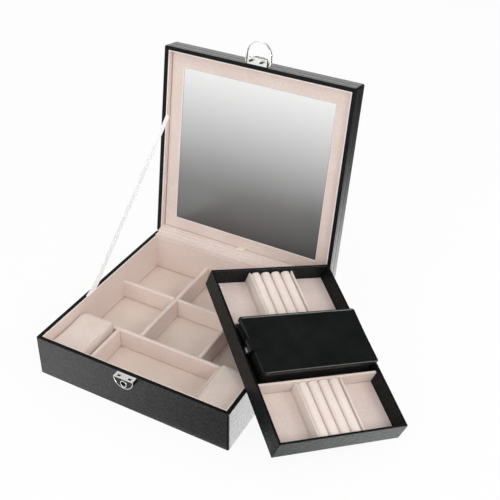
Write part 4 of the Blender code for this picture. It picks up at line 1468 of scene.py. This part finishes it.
def main():
    """Load the frame, dress it, and set the stage and the camera."""
    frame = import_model()
    leather = leatherette("grained_leatherette", "#080909", "#131514", 0.38, 2.4, 0.6)
    tray_leather = leatherette("tray_leatherette", "#0b0e0e", "#171b1b", 0.40, 2.4, 0.6, 0.12)
    edge_leather = leatherette("turned_leatherette", "#080909", "#101211", 0.45, 2.4, 0.3, 0.12)
    smooth_leather = leatherette(
        "smooth_leatherette", "#141515", "#1b1c1c", 0.26, 2.6, 0.04, 0.17, 26.0
    )
    pink = velvet("flocked_velvet", "#dfccc4", "#e9dad2")
    # Copies of the one pink velvet, each toned for how light falls on its part, as painted light:
    # the pillows' a touch darker, the wells' and rolls' lighter, the floor's lighter and warmer
    shaded_pillow_pink = velvet("pillow_velvet_shaded", "#ddccc2", "#e8d9d0")
    lightened_well_pink = velvet("lining_velvet_lightened", "#e4d2ca", "#edddd5")
    warm_lit_floor_pink = velvet("floor_velvet_warm_lit", "#e3d2c6", "#ecddd1")
    lightened_roll_pink = velvet("roll_velvet_lightened", "#e8d9d1", "#f0e4dc")
    # A paler copy of the velvet: a painted highlight for edges that catch light
    painted_highlight_pink = velvet("velvet_painted_highlight", "#f6ebe7", "#fdf6f3")
    chrome = plated_metal("nickel_plate", "#d8d8d6", 0.30, 0.8)
    # Dark nickel: painted shade on the lock's and hasp's sides and prongs, painted reflection on
    # their faces
    dark = plated_metal("nickel_painted_shade", "#363636", 0.3)
    board = pressed_board()
    # Both ribbons carry a painted glow, the sheer one more than the cream loop
    cream = ribbon_cloth("satin_ribbon", "#f4e9d2", 1.0, 0.05)
    sheer = ribbon_cloth("sheer_ribbon", "#eef1f0", 0.88, 0.21)

    boards = ("base_bottom_board", "hinge_rail", "mirror_board")
    carried = {
        **dict.fromkeys((*boards, "left_mirror_batten", "right_mirror_batten"), board),
        "lid_back_lining": pink,
        "mirror_glass": painted_reflection_mirror(),
        # The key barrel is painted near black: painted shade in its keyhole and face
        "key_barrel": plated_metal("steel_painted_shade", "#0c0c0c", 0.35),
        "lock_bolt": chrome,
        "ring_pin": chrome,
        "tray_floor": tray_leather,
    }
    for node, finish in carried.items():
        materials = frame["nodes"][node].data.materials
        materials.clear()
        materials.append(finish)

    base_shell(leather, edge_leather)
    base_lining(lightened_well_pink, painted_highlight_pink)
    well_floor(warm_lit_floor_pink)
    dividers(lightened_well_pink)
    pillow("left_pillow_pad", "left_watch_pillow", -1, shaded_pillow_pink)
    pillow("right_pillow_pad", "right_watch_pillow", 1, shaded_pillow_pink)
    lock(chrome, dark)
    hasp(chrome, dark)
    pull_ring(chrome)
    lid_shell(leather, edge_leather)
    lid_lining(pink, painted_highlight_pink)
    mirror_surround(pink, painted_highlight_pink)
    gusset(lightened_well_pink)
    ribbon(sheer)
    spine(leather)
    pull_loop(cream)
    tray_shell(tray_leather, edge_leather)
    tray_pads(pink)
    tray_partitions(pink)
    ring_rolls(lightened_roll_pink)
    travel_case(smooth_leather, edge_leather, chrome)
    studio()
    camera()


main()
